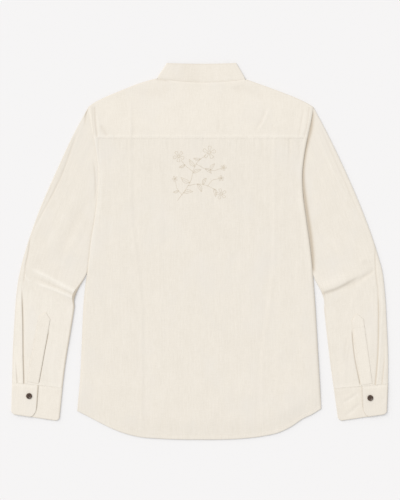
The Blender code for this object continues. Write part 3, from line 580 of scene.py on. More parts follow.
@dataclass(frozen=True)
class ClothFinish(Finish):
    """Off-white linen and cotton cloth: slubbed plain weave, soft mottling and a faint fuzz, with painted
    shade and painted highlights.
    """

    tone: float = 1.0
    streaks: float = 1.0
    colour: Colour = (0.815, 0.764, 0.683)
    cool: Colour = (0.800, 0.757, 0.695)
    # Brown that the painted shade in creases and on shaded edges blends towards
    painted_shade_colour: Colour = (0.515, 0.433, 0.330)
    light_share = 1.035
    dark_shares = (0.965, 0.960, 0.950)
    surface = {"Roughness": 0.88, "Sheen Weight": 0.08, "Sheen Roughness": 0.5, "Specular IOR Level": 0.25}

    def dress(self, tree: NodeBuilder) -> None:
        """Build the cloth's nodes."""
        tree.surface(self.surface)
        place = tree.node("ShaderNodeUVMap", uv_map="weave").outputs["UV"]
        warp = tree.noise(place, (1900.0, 75.0), 3.0, 0.55)
        weft = tree.noise(place, (75.0, 1900.0), 3.0, 0.55)
        slub_up = tree.noise(place, (520.0, 60.0), 2.0, 0.55)
        slub_across = tree.noise(place, (60.0, 520.0), 2.0, 0.55)
        streak = tree.noise(place, (260.0, 15.0), 2.0, 0.5)
        grain = tree.noise(place, (640.0, 640.0), 2.0, 0.6)
        mottle = tree.noise(place, (34.0, 24.0), 3.0, 0.55)
        patch = tree.noise(place, (13.0, 9.0), 2.0, 0.5)
        parts = [(warp, 0.7), (weft, 0.6), (slub_up, 1.4), (slub_across, 0.9), (grain, 1.9), (mottle, 0.9)]
        tone = tree.weigh(0.5, parts + [(streak, 0.85 * self.streaks), (patch, 0.4)])
        light = [min(channel * self.tone * self.light_share, 1.0) for channel in self.colour]
        dark = [channel * self.tone * share for channel, share in zip(self.colour, self.dark_shares)]
        cloth = tree.blend(tone, dark, light)
        cool = [channel * self.tone for channel in self.cool]
        area = tree.stretch(tree.noise(place, (11.0, 8.0), 3.0, 0.6), 0.50, 0.72)
        cloth = tree.blend(tree.math("MULTIPLY", area, 0.55), cloth, cool, clamp=False)
        # Painted shade and painted highlights: a per-point attribute blends the cloth towards the brown
        # painted shade, and away from it into a painted highlight below 0
        painted_shading = tree.node("ShaderNodeAttribute", attribute_name="painted_shading").outputs["Fac"]
        tree.surface({"Base Color": tree.blend(painted_shading, cloth, self.painted_shade_colour, clamp=False)})

        threads = tree.weigh(0.0, [(warp, 1.0), (weft, 1.0), (grain, 0.8)])
        fine = tree.bump(threads, 0.35, 0.00012)
        soft = tree.bump(tree.weigh(0.0, [(mottle, 1.0), (streak, 0.5)]), 0.3, 0.0006, fine)
        tree.surface({"Normal": soft})


@dataclass(frozen=True)
class ThreadFinish(Finish):
    """Twisted sewing thread."""

    colour: Colour
    ply = 2600.0
    surface = {"Roughness": 0.7, "Sheen Weight": 0.15}

    def dress(self, tree: NodeBuilder) -> None:
        """Build the thread's nodes."""
        tree.surface(self.surface)
        place = tree.node("ShaderNodeTexCoord").outputs["Object"]
        twist = tree.noise(place, (self.ply, self.ply, self.ply), 2.0, 0.5)
        dark = [channel * 0.86 for channel in self.colour]
        light = [min(channel * 1.1, 1.0) for channel in self.colour]
        tree.surface({"Base Color": tree.blend(twist, dark, light)})
        tree.surface({"Normal": tree.bump(twist, 0.4, 0.00008)})


@dataclass(frozen=True)
class ButtonFinish(Finish):
    """Polished dark horn-look plastic with paler clouds and fine wear."""

    name: str = "button_horn"
    dark: Colour = (0.030, 0.014, 0.008)
    pale: Colour = (0.115, 0.060, 0.032)

    def dress(self, tree: NodeBuilder) -> None:
        """Build the button's nodes."""
        tree.surface({"Coat Weight": 0.35, "Coat Roughness": 0.18})
        place = tree.node("ShaderNodeTexCoord").outputs["Object"]
        cloud = tree.stretch(tree.noise(place, (260.0, 420.0, 260.0), 4.0, 0.6), 0.38, 0.66)
        tree.surface({"Base Color": tree.blend(cloud, self.dark, self.pale)})
        scuff = tree.noise(place, (2400.0, 2400.0, 2400.0), 3.0, 0.6)
        tree.surface({"Roughness": tree.stretch(scuff, 0.24, 0.46, "To")})
        tree.surface({"Normal": tree.bump(scuff, 0.12, 0.00004)})


@dataclass(frozen=True)
class FloorFinish(Finish):
    """Plain pale studio floor."""

    name: str = "studio_floor"
    colour: Colour = (0.592, 0.587, 0.588)
    glow: float = 0.231

    def dress(self, tree: NodeBuilder) -> None:
        """Set the floor's colour and its faint glow, with no shine."""
        tree.surface({"Base Color": (*self.colour, 1.0), "Roughness": 1.0, "Specular IOR Level": 0.0})
        tree.surface({"Emission Color": (1.0, 0.992, 0.992, 1.0), "Emission Strength": self.glow})


SINGLE_CLOTH = ClothFinish("cloth_single", tone=0.984)
SLEEVE_CLOTH = ClothFinish("cloth_sleeve", tone=0.99)
DOUBLE_CLOTH = ClothFinish("cloth_double", tone=1.01, streaks=0.5)
SEWING_THREAD = ThreadFinish("thread_sewing", (0.80, 0.745, 0.655))
TONAL_THREAD = ThreadFinish("thread_embroidery", (0.625, 0.54, 0.41))
BUTTON_THREAD = ThreadFinish("thread_button", (0.56, 0.47, 0.36))
HORN = ButtonFinish()


def add_object(name: str, data: bpy.types.ID) -> bpy.types.Object:
    """Put a mesh, a light or a camera into the scene."""
    made = bpy.data.objects.new(name, data)
    bpy.context.scene.collection.objects.link(made)
    return made


def evaluated_mesh(piece: bpy.types.Object) -> bpy.types.Mesh:
    """New mesh of an object with its modifiers applied."""
    return bpy.data.meshes.new_from_object(piece.evaluated_get(bpy.context.evaluated_depsgraph_get()))


@dataclass
class ClothGrid:
    """A sheet of cloth as a grid of points through the middle of its wall.

    middle is rows by columns by 3 in mm, weave the flat place of each point in mm and wall the thickness
    there. In a closed grid each row is a ring, and weave has one more column for where the ring closes.
    """

    name: str
    middle: Array
    weave: Array
    wall: Array
    facing: Facing
    finish: ClothFinish
    painted_shading: Array | None = None
    closed: bool = False
    keep: Callable[[int, int], bool] | None = None
    blocks: Sequence[tuple[slice, slice]] = ((slice(None), slice(None)),)

    def normals(self) -> Array:
        """Outward direction at each point."""
        across, along = np.zeros(self.middle.shape), np.zeros(self.middle.shape)
        for block in self.blocks:
            across[block] = np.gradient(self.middle[block], axis=1)
            along[block] = np.gradient(self.middle[block], axis=0)
        if self.closed:
            across = np.roll(self.middle, -1, axis=1) - np.roll(self.middle, 1, axis=1)
        normal = np.cross(across, along)
        normal /= np.maximum(np.linalg.norm(normal, axis=-1, keepdims=True), 1e-9)
        if self.facing is Facing.OUT:
            centre = self.middle.mean(axis=1, keepdims=True)
            outward = np.sum(normal * (self.middle - centre)) > 0.0
        else:
            outward = (normal[..., 2].mean() > 0.0) == (self.facing is Facing.UP)
        self.reversed = not outward
        return normal if outward else -normal

    def outer_points(self) -> Array:
        """Points on the outside of the cloth in mm."""
        return self.middle + 0.5 * self.wall[..., None] * self.normals()

    def build(self) -> bpy.types.Object:
        """Make the closed shell as an object with its cloth finish.

        Returns:
            The object, with smooth shading, a weave UV map in metres and a painted shading attribute.
        """
        rows, columns = self.middle.shape[:2]
        normal = self.normals()
        half = 0.5 * self.wall[..., None] * normal
        points = np.concatenate([self.middle + half, self.middle - half]).reshape(-1, 3) * MM
        count = rows * columns
        across = columns if self.closed else columns - 1
        r, c = np.meshgrid(np.arange(rows - 1), np.arange(across), indexing="ij")
        kept = np.ones(r.shape, bool)
        if self.keep:
            kept = np.array([[self.keep(row, column) for column in range(across)] for row in range(rows - 1)])
        r, c = r[kept], c[kept]
        after = (c + 1) % columns
        here, below = r * columns, (r + 1) * columns
        corners = np.stack([here + c, here + after, below + after, below + c], 1)
        flat = self.weave.reshape(-1, 2) * MM
        wide = self.weave.shape[1]
        flat_at = np.stack([r * wide + c, r * wide + c + 1, (r + 1) * wide + c + 1, (r + 1) * wide + c], 1)
        if self.reversed:
            corners, flat_at = corners[:, ::-1], flat_at[:, ::-1]
        outer, outer_uv = corners, flat_at
        inner, inner_uv = corners[:, ::-1] + count, flat_at[:, ::-1]
        rims, rim_uv = self.rims(outer, outer_uv, count)
        faces = np.concatenate([outer, inner, rims])
        uv = flat[np.concatenate([outer_uv, inner_uv, rim_uv]).reshape(-1)]
        used, faces_used = np.unique(faces, return_inverse=True)
        mesh = bpy.data.meshes.new(self.name)
        mesh.from_pydata(points[used], [], faces_used.reshape(faces.shape).tolist())
        layer = mesh.uv_layers.new(name="weave")
        layer.data.foreach_set("uv", uv.astype(np.float32).ravel())
        # Per-point painted shade, and painted highlight below 0, for the cloth material
        painted_shading = np.zeros((rows, columns)) if self.painted_shading is None else np.clip(self.painted_shading, -0.3, 1.0)
        both = np.concatenate([painted_shading.ravel(), painted_shading.ravel()])[used]
        mesh.attributes.new("painted_shading", "FLOAT", "POINT").data.foreach_set("value", both.astype(np.float32))
        mesh.shade_smooth()
        mesh.set_sharp_from_angle(angle=math.radians(48.0))
        mesh.materials.append(self.finish.material())
        return add_object(self.name, mesh)

    @staticmethod
    def rims(outer: Array, outer_uv: Array, count: int) -> tuple[Array, Array]:
        """Faces that close the wall along its open edges.

        Args:
            outer: Corners of the outer faces.
            outer_uv: Flat places of those corners.
            count: Points on one side of the cloth.

        Returns:
            The faces and their flat places.
        """
        starts = outer.reshape(-1)
        ends = np.roll(outer, -1, axis=1).reshape(-1)
        uv_starts = outer_uv.reshape(-1)
        uv_ends = np.roll(outer_uv, -1, axis=1).reshape(-1)
        big = int(max(starts.max(), ends.max())) + 1
        there = starts.astype(np.int64) * big + ends
        back = ends.astype(np.int64) * big + starts
        open_edge = ~np.isin(there, back)
        a, b = starts[open_edge], ends[open_edge]
        rims = np.stack([b, a, a + count, b + count], 1)
        uv_a, uv_b = uv_starts[open_edge], uv_ends[open_edge]
        return rims, np.stack([uv_b, uv_a, uv_a, uv_b], 1)


def declare(piece: bpy.types.Object, node: str, flat: Point) -> None:
    """Tell the frame what a finished piece of cloth is.

    Args:
        piece: The cloth.
        node: The CAD node that it stands for.
        flat: Width and length of the cut in mm.
    """
    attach(piece, "root")
    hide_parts(node)
    LOG.info("%s: %d faces, cut %.0f x %.0f mm", piece.name, len(piece.data.polygons), *flat)


EDGE_STEPS = np.array([0.0, 0.25, 0.6, 1.1, 1.7, 2.4, 3.2, 4.1, 5.1, 6.2, 7.6, 9.4, 11.6, 14.2, 17.0, 20.0])


@dataclass
class Back:
    """Back below the yoke, with rolled sides, long soft folds, puckers and a curved tail."""

    step_across: float = 2.45
    step_down: float = 3.2
    roll: float = 6.5
    pucker_height: float = 0.26
    pucker_length: float = 32.0
    hem_width: float = 8.0
    hem_ripple: float = 0.115
    hem_fold: float = 0.18
    hem_groove: float = 0.16
    flat_size: Point = (514.0, 636.0)
    inner_width: float = 472.0
    dense_rows_to: float = 60.0
    relief: Relief = relief(
        # line, height, width, painted shade (a painted highlight below 0), fade in, fade out, kind
        ([(-3.5, 236), (-3, 120), (-5, -60), (-2, -250)], 0.16, 7, 0, 0.1),
        ([(-84, 236), (-83, 60), (-80, -140), (-76, -385)], 0.16, 9, 0, 0.05),
        ([(85, 236), (84, 90), (80, -120), (79, -385)], 0.14, 8, 0, 0.05),
        ([(-190, 225), (-186, 60), (-196, -120), (-204, -330)], -0.22, 11, 0, 0.1),
        ([(196, 215), (190, 40), (199, -140), (206, -330)], -0.22, 11, 0, 0.1),
        ([(26, 28), (60, 26), (96, 26)], -0.22, 2.4),
        ([(-212.2, 236), (-212.4, 212), (-211, 178)], -0.35, 1.3, 0.2, 0.02, 0.6),
        ([(207.3, 236), (208.6, 205), (210.7, 160)], -0.25, 1.4, 0.1, 0.02, 0.6),
        ([(187, 236), (189, 206), (186, 176)], -0.45, 2.6, 0.07, 0.02, 0.7),
        ([(129, 236), (131, 214), (128, 190)], -0.35, 3, 0.05, 0.02, 0.7),
        ([(-152, 236), (-150, 216), (-153, 196)], -0.3, 2.6, 0.05, 0.02, 0.7),
        ([(-120, -60), (-60, -66), (10, -62)], 0.12, 9),
        ([(-232, -190), (-180, -203), (-120, -204)], 0.16, 9),
        ([(232, -150), (180, -166), (120, -163)], 0.16, 9),
        ([(-40, -250), (30, -262), (95, -250)], -0.12, 9),
    )

    def top(self, x: Array, y: Array) -> tuple[Array, Array]:
        """Height and painted shading of the outer surface, without the roll at its edges."""
        more, painted_shading = self.relief.at(x, y)
        drop = YOKE_SEAM_Y - y
        reach = np.exp(-drop / self.pucker_length) * (1.0 - np.exp(-drop / 1.5))
        lean = x + 0.12 * drop * irregular(x, 90.0, 3)
        z = BODY.inside(x, y) + CAD_BACK_WALL + more
        z = z + self.pucker_height * irregular(lean, 7.2, 11) * (1.0 + 0.6 * irregular(x, 63.0, 12)) * reach
        z = z + 0.05 * irregular(lean, 11.0, 13) * np.exp(-drop / 120.0)
        z = z + 0.07 * irregular(x + 0.02 * drop, 38.0, 15) * (1.0 + irregular(drop, 150.0, 16))
        hem = y - HEM(x)
        z = z + self.hem_ripple * irregular(x + 0.3 * y, 7.5, 14) * bell(hem - 9.0, 6.5)
        z = z + self.hem_fold * ease((self.hem_width + 1.0 - hem) / 1.6) * ease(hem / 1.2)
        z = z - self.hem_groove * bell(hem - self.hem_width, 1.0)
        return z, painted_shading

    def grid(self) -> ClothGrid:
        """Points of the back from its yoke seam to its hem."""
        top_y = YOKE_SEAM_Y - 0.03
        dense = self.dense_rows_to
        first = np.concatenate([np.array([0.0, 0.3, 0.8, 1.5, 2.4, 3.6, 5.2]), spread(7.0, dense, 2.2)])
        last = np.array([13.0, 11.0, 9.6, 8.8, 8.0, 7.2, 6.2, 4.6, 3.0, 1.8, 0.9, 0.35, 0.0])
        nominal = top_y + 396.0
        downs = np.concatenate([first, spread(dense, nominal - 13.0, self.step_down)[1:-1], nominal - last])
        inner_share = spread(0.0, self.inner_width, self.step_across)[1:-1] / self.inner_width
        columns = len(EDGE_STEPS) * 2 + len(inner_share)
        x = np.zeros((len(downs), columns))
        y = np.repeat((top_y - downs)[:, None], columns, axis=1)
        for _ in range(6):
            left, right = LEFT_EDGE(y[:, :1]), RIGHT_EDGE(y[:, -1:])
            inner = mix(left + EDGE_STEPS[-1], right - EDGE_STEPS[-1], inner_share)
            x = np.concatenate([left + EDGE_STEPS, inner, right - EDGE_STEPS[::-1]], axis=1)
            scale = (top_y - dense - HEM(x)) / (nominal - dense)
            stretched = top_y - dense - (downs[:, None] - dense) * scale
            y = np.where(downs[:, None] < dense, top_y - downs[:, None], stretched)
        z, painted_shading = self.top(x, y)
        side = np.minimum(x - LEFT_EDGE(y), RIGHT_EDGE(y) - x)
        beside_sleeve = ease((y + 62.0) / 40.0)
        roll = mix(self.roll, 2.2, beside_sleeve)
        foot = mix(1.9, 3.3, beside_sleeve)
        z = z + 0.25 * beside_sleeve * bell(side - 3.5, 3.0)
        z = foot + (z - 0.5 * SINGLE_WALL - foot) * quarter_round(side, roll)
        hem = y - HEM(x)
        z = np.where(hem < 2.0, 1.6 + (z - 1.6) * mix(0.35, 1.0, quarter_round(hem, 2.0)), z)
        # Painted shade on the right edge, which faces away from the light, and along the hem and the left
        # edge; painted highlights in bands inside both edges beside the sleeves, with a thin painted shadow
        # right at the left one
        from_right = RIGHT_EDGE(y) - x
        painted_shading = stronger(painted_shading, 0.27 * bell(from_right, 2.8))
        painted_shading = stronger(painted_shading, 0.09 * bell(hem, 1.6))
        from_left = x - LEFT_EDGE(y)
        painted_shading = stronger(painted_shading, 0.13 * (1.0 - beside_sleeve) * bell(from_left, 3.4, 4))
        painted_shading = painted_shading - 0.10 * beside_sleeve * bell(from_left - 5.0, 4.2, 4)
        painted_shading = painted_shading + 0.09 * beside_sleeve * bell(from_left, 1.6)
        painted_shading = painted_shading - 0.05 * beside_sleeve * bell(from_right - 8.0, 4.0, 4)
        wall = np.full(x.shape, SINGLE_WALL)
        wall *= mix(0.45, 1.0, quarter_round(hem, 0.8))
        return ClothGrid(
            "shirt_back", np.stack([x, y, z], -1), np.stack([x, y], -1), wall, Facing.UP, SINGLE_CLOTH, painted_shading
        )

    def make(self) -> bpy.types.Object:
        grid = self.grid()
        outer = grid.outer_points()
        above_hem = grid.middle[:, 120, 1] - HEM(grid.middle[:, 120, 0])
        hem = int(np.argmin(np.abs(above_hem - self.hem_width + 0.6)))
        self.stitches = [outer[hem, 4:-4]]
        piece = grid.build()
        declare(piece, "back", self.flat_size)
        return piece


@dataclass
class Yoke:
    """Yoke over the shoulders, folded under to the forward shoulder seam."""

    step: float = 2.4
    roll: float = 6.5
    wall: float = 1.0
    ridge_at: float = 3.6
    ridge_rise: float = 0.18
    seam_drop: float = 0.46
    edge_part: float = 140.0
    flat_size: Point = (480.0, 152.0)
    mean_depth: float = 126.0
    filled_share: float = 0.93
    relief: Relief = relief(
        # line, height, width, painted shade (a painted highlight below 0), fade in, fade out, kind
        ([(147.7, 305), (136, 275), (120.7, 248)], 0.42, 3.4, -0.05),
        ([(141, 303), (129, 273), (114, 248)], -0.42, 3.4, 0.07),
        ([(158, 268), (162, 258), (164, 246)], 0.34, 3),
        ([(151, 270), (154, 258), (157, 246)], -0.3, 3, 0.05),
        ([(40, 283), (41, 265), (38, 246)], -0.34, 2.6, 0.05),
        ([(48, 281), (49, 265), (47, 246)], 0.34, 2.6),
        ([(-209, 268), (-202, 254), (-193, 240)], -0.7, 3.6, 0.16, 0.3, 0.1),
        ([(-198, 266), (-189, 254), (-181, 240)], 0.4, 3.6, 0, 0.3, 0.1),
        ([(-225.6, 303), (-224.4, 275), (-221.3, 239)], -0.35, 1.2, 0.22, 0.02, 0.02),
        ([(-221, 303), (-219.2, 270), (-215.6, 239)], -0.5, 2.1, 0.3, 0.02, 0.02),
        ([(-216, 300), (-213.5, 270), (-210.5, 239)], 0.35, 2.6, -0.05, 0.3, 0.02),
        ([(230.4, 303), (226, 270), (219.5, 239)], -0.35, 1.2, 0.22, 0.02, 0.02),
        ([(216.5, 298), (212.6, 268), (207.5, 239)], -0.35, 1.5, 0.13, 0.02, 0.02),
        ([(223, 298), (219, 268), (213.5, 239)], 0.2, 2.6, -0.05, 0.3, 0.02),
        ([(-94, 361.6), (-80, 359.8), (-62, 356.8)], -0.4, 1.8, 0.3, 0.05),
        ([(96, 352), (80, 347.5), (62, 344.5)], 0.28, 2.2),
        ([(92, 346), (78, 341.5), (60, 339)], -0.2, 2.6),
        ([(-70, 330), (0, 322), (74, 331)], 0.22, 12),
        ([(60, 344), (100, 338), (140, 322)], -0.3, 9, 0.06),
        ([(-150, 334), (-104, 331), (-62, 335)], -0.25, 9, 0.05),
        ([(204, 305), (200, 272), (196, 243)], -0.2, 5),
        ([(-147.5, 326), (-146.5, 282), (-145.5, 240)], 0.24, 2.4, -0.04, 0.3, 0.02),
        ([(-140.5, 322), (-139.5, 282), (-138.5, 240)], -0.2, 4, 0.03, 0.3, 0.02),
    )

    def grid(self) -> ClothGrid:
        """Points of the yoke from its seam, over the shoulders and under to the shoulder seam."""
        steps = EDGE_STEPS[:-3]
        shares = np.concatenate([steps, spread(steps[-1], self.edge_part, self.step)[1:]]) / self.edge_part
        neck_steps = spread(neck_corner(-1)[0], neck_corner(1)[0], self.step)[1:-1]
        first_neck, last_neck = len(shares) - 1, len(shares) + len(neck_steps)
        seam_rows = np.array([0.0, 0.3, 0.8, 1.5, 2.4, 3.6, 5.0]) / 100.0
        rising = np.concatenate([seam_rows, spread(0.065, 0.97, self.step / 90.0), [0.985, 1.0]])
        turning = np.radians(spread(0.0, 180.0, 12.0)[1:])
        tucked = spread(0.0, 1.0, 0.1)[1:]
        wall = self.wall
        radius = 0.5 * (BODY.loft_neck + CAD_YOKE_WALL)
        hollow = radius - 0.5 * wall
        start = YOKE_SEAM_Y + 0.03
        columns = []
        for side, places in ((-1, shares), (0, neck_steps), (1, shares[::-1])):
            if side:
                fold_at, edge = BODY.shoulder_fold(places, side)
                end = edge - radius
            else:
                fold_at = places
                edge = BODY.back_neck_y(places) - 0.5 * SEAM_GAP
                end = edge
            y = mix(start, end[None], rising[:, None])
            x = np.repeat(fold_at[None], len(y), 0)
            if side:
                x = mix(side_edge(side)(y), neck_corner(side)[0], places)
            level = ease((rising[:, None] - 0.6) / 0.4)
            z = mix(BODY.inside(x, y), BODY.loft_neck, level) + CAD_YOKE_WALL - 0.5 * wall
            more, _ = self.relief.at(x, y)
            ridge = self.ridge_rise * bell(y - start - self.ridge_at, 2.6)
            ripple = 0.03 * irregular(x, 9.0, 21) * np.exp(-(y - start) / 14.0)
            z = z + more * ease((1.0 - rising[:, None]) / 0.08) + ridge + ripple
            z = z - self.seam_drop * (1.0 - ease((y - start) / 24.0))
            z = z - 0.5 * ease(1.0 - (end - y) / 3.5) * (side == 0)
            turn = turning[:, None]
            fold_y = edge - radius + hollow * np.sin(turn)
            fold_z = radius + hollow * np.cos(turn) * np.ones(len(places))
            fold_x = np.repeat(fold_at[None], len(turning), 0)
            tuck_y = mix(edge - radius, edge - SHOULDER_SEAM_DROP, tucked[:, None]) + 0.5 * SEAM_GAP
            tuck_x = np.repeat(fold_at[None], len(tucked), 0)
            if side:
                fold_x = np.where(turn > 0.5 * math.pi, BODY.tucked_x(places, fold_y, side), fold_x)
                tuck_x = BODY.tucked_x(places, tuck_y, side)
            else:
                fold_y = edge + 0.3 * np.arange(1, len(turning) + 1)[:, None]
                tuck_y = fold_y[-1:] + 0.3 * np.arange(1, len(tucked) + 1)[:, None]
            tuck_z = np.full(tuck_x.shape, 0.5 * wall)
            parts = ((x, fold_x, tuck_x), (y, fold_y, tuck_y), (z, fold_z, tuck_z))
            grid = np.stack([np.concatenate(part) for part in parts], -1)
            if side:
                away = places * self.edge_part
                press = mix(0.49, 1.0, quarter_round(away, self.roll))
                grid[..., 2] = 0.5 * wall + (grid[..., 2] - 0.5 * wall) * press
            columns.append(grid)
        middle = np.concatenate(columns, axis=1)
        across, along = middle[..., 0], middle[..., 1]
        lengths = np.linalg.norm(np.diff(middle, axis=0), axis=-1)
        flat_y = YOKE_SEAM_Y + np.concatenate([np.zeros((1, middle.shape[1])), np.cumsum(lengths, axis=0)])
        weave = np.stack([across, flat_y], -1)
        # Painted shading: crease shade and highlights on the top, a painted highlight just above the seam,
        # painted shade on the rolled shoulder folds and on the right end, which faces away from the light
        painted_shading = self.relief.at(across, along)[1]
        painted_shading[len(rising) + 3 :] = 0.0
        painted_shading = painted_shading - 0.05 * bell(along - start - self.ridge_at, 4.0, 4)
        folded = middle[len(rising) + 6, :, 1][None] - along
        outer_folds = np.ones(middle.shape[1], bool)
        outer_folds[first_neck + 1 : last_neck] = False
        fold_painted_shade = np.where(across < 0.0, 0.27, 0.20)
        painted_shading = stronger(painted_shading, fold_painted_shade * bell(folded, 1.7) * outer_folds)
        ends = np.minimum(across - LEFT_EDGE(along), RIGHT_EDGE(along) - across)
        painted_shading = stronger(painted_shading, 0.26 * bell(ends, 1.4) * (across > 0.0))
        walls = np.full(painted_shading.shape, wall)
        walls *= mix(0.8, 1.0, quarter_round(along - start, 0.8))

        def keep(row: int, column: int) -> bool:
            return row < len(rising) - 1 or column < first_neck or column >= last_neck

        blocks = (
            (slice(None), slice(0, first_neck + 1)),
            (slice(0, len(rising)), slice(first_neck + 1, last_neck)),
            (slice(None), slice(last_neck, None)),
        )
        self.area = self.filled_share * self.flat_size[0] * self.mean_depth
        return ClothGrid(
            "shirt_yoke", middle, weave, walls, Facing.UP, DOUBLE_CLOTH, painted_shading, keep=keep, blocks=blocks
        )

    def make(self) -> bpy.types.Object:
        grid = self.grid()
        outer = grid.outer_points()
        row = int(np.argmin(np.abs(grid.middle[:, 0, 1] - YOKE_SEAM_Y - 1.8)))
        self.stitches = [outer[row, 3:-3]]
        for columns in (slice(0, 40), slice(-40, None)):
            self.stitches.append(outer[-2, columns])
        piece = grid.build()
        declare(piece, "yoke", self.flat_size)
        return piece


@dataclass
class Front:
    """One front from its shoulder seam to its hem, lapped along the centre."""

    side: int
    step: float = 4.6
    lap: float = 15.0
    nominal_width: float = 140.0
    nominal_length: float = 700.0
    flat_size: Point = (276.0, 727.0)

    @property
    def name(self) -> str:
        """Name of the front's CAD node."""
        return "front_left" if self.side < 0 else "front_right"

    def ripple(self, x: Array, y: Array) -> Array:
        """Creases of the hidden front, which only lift the cloth off the surface."""
        rows = [
            # line to the outside of the shirt's middle, height, width
            ([(70, 250), (84, 40), (76, -300)], 0.5, 9),
            ([(150, 260), (141, 10), (155, -340)], 0.6, 8),
            ([(205, 90), (190, -60), (205, -290)], 0.5, 9),
            ([(60, 120), (120, 108), (190, 122)], 0.35, 6),
            ([(56, -170), (130, -188), (215, -170)], 0.35, 7),
        ]
        lines = [([(self.side * out, up) for out, up in line], *more) for line, *more in rows]
        return relief(*lines).at(x, y)[0]

    def grid(self) -> ClothGrid:
        """Points of the front."""
        side = self.side
        edge = side_edge(side)
        rest = spread(0.045, 1.0, self.step / self.nominal_width)[:-1]
        shares = np.concatenate([[0.0, 0.006, 0.014, 0.028], rest])
        _, fold_y = BODY.shoulder_fold(shares, side)
        seam_y = fold_y - SHOULDER_SEAM_DROP
        shoulder = np.stack([BODY.tucked_x(shares, seam_y, side), seam_y], -1)
        neck = BODY.neck_point(spread(BODY.seam_angle(side), STRAIGHT_NECK_ANGLE, 3.5), side)
        centre = np.array([BODY.near_centre_front(step, side) for step in spread(17.0, -self.lap, 2.4)])
        heads = np.concatenate([shoulder, neck, centre])
        heads[:, 1] -= SEAM_GAP
        loose = np.clip(1.0 - (heads[:, 0] - heads[0, 0]) / (CENTRE_X + side * 58.0 - heads[0, 0]), 0.0, 1.0)
        long = self.nominal_length
        first = np.array([0.0, 0.4, 1.2, 2.5]) / long
        last = [0.985, 0.99, 0.995, 0.998, 1.0]
        rows = np.concatenate([first, spread(5.0 / long, 0.98, self.step / long), last])
        y = np.repeat(heads[None, :, 1], len(rows), 0)
        x = y
        for _ in range(6):
            x = heads[:, 0] + (edge(y) - edge(heads[:, 1])) * loose
            y = mix(heads[:, 1], HEM(x) + 4.0, rows[:, None])
        z = BODY.front_bottom(x, y, side) + 0.5 * SINGLE_WALL
        edges = np.minimum(ease(side * (edge(y) - x) / 12.0), ease((y - HEM(x) - 6.0) / 12.0))
        away = ease((np.abs(x - CENTRE_X) - 40.0) / 30.0)
        z = z + self.ripple(x, y) * edges * away
        wall = np.full(x.shape, SINGLE_WALL)
        weave = np.stack([x, y], -1)
        middle = np.stack([x, y, z], -1)
        return ClothGrid(f"shirt_{self.name}", middle, weave, wall, Facing.DOWN, SINGLE_CLOTH)

    def make(self) -> bpy.types.Object:
        grid = self.grid()
        outer = grid.outer_points()
        hem = int(np.argmin(np.abs(grid.middle[:, 10, 1] - HEM(grid.middle[:, 10, 0]) - 12.0)))
        self.stitches = [outer[hem, 2:-2], outer[3:hem, -3]]
        piece = grid.build()
        declare(piece, self.name, self.flat_size)
        return piece


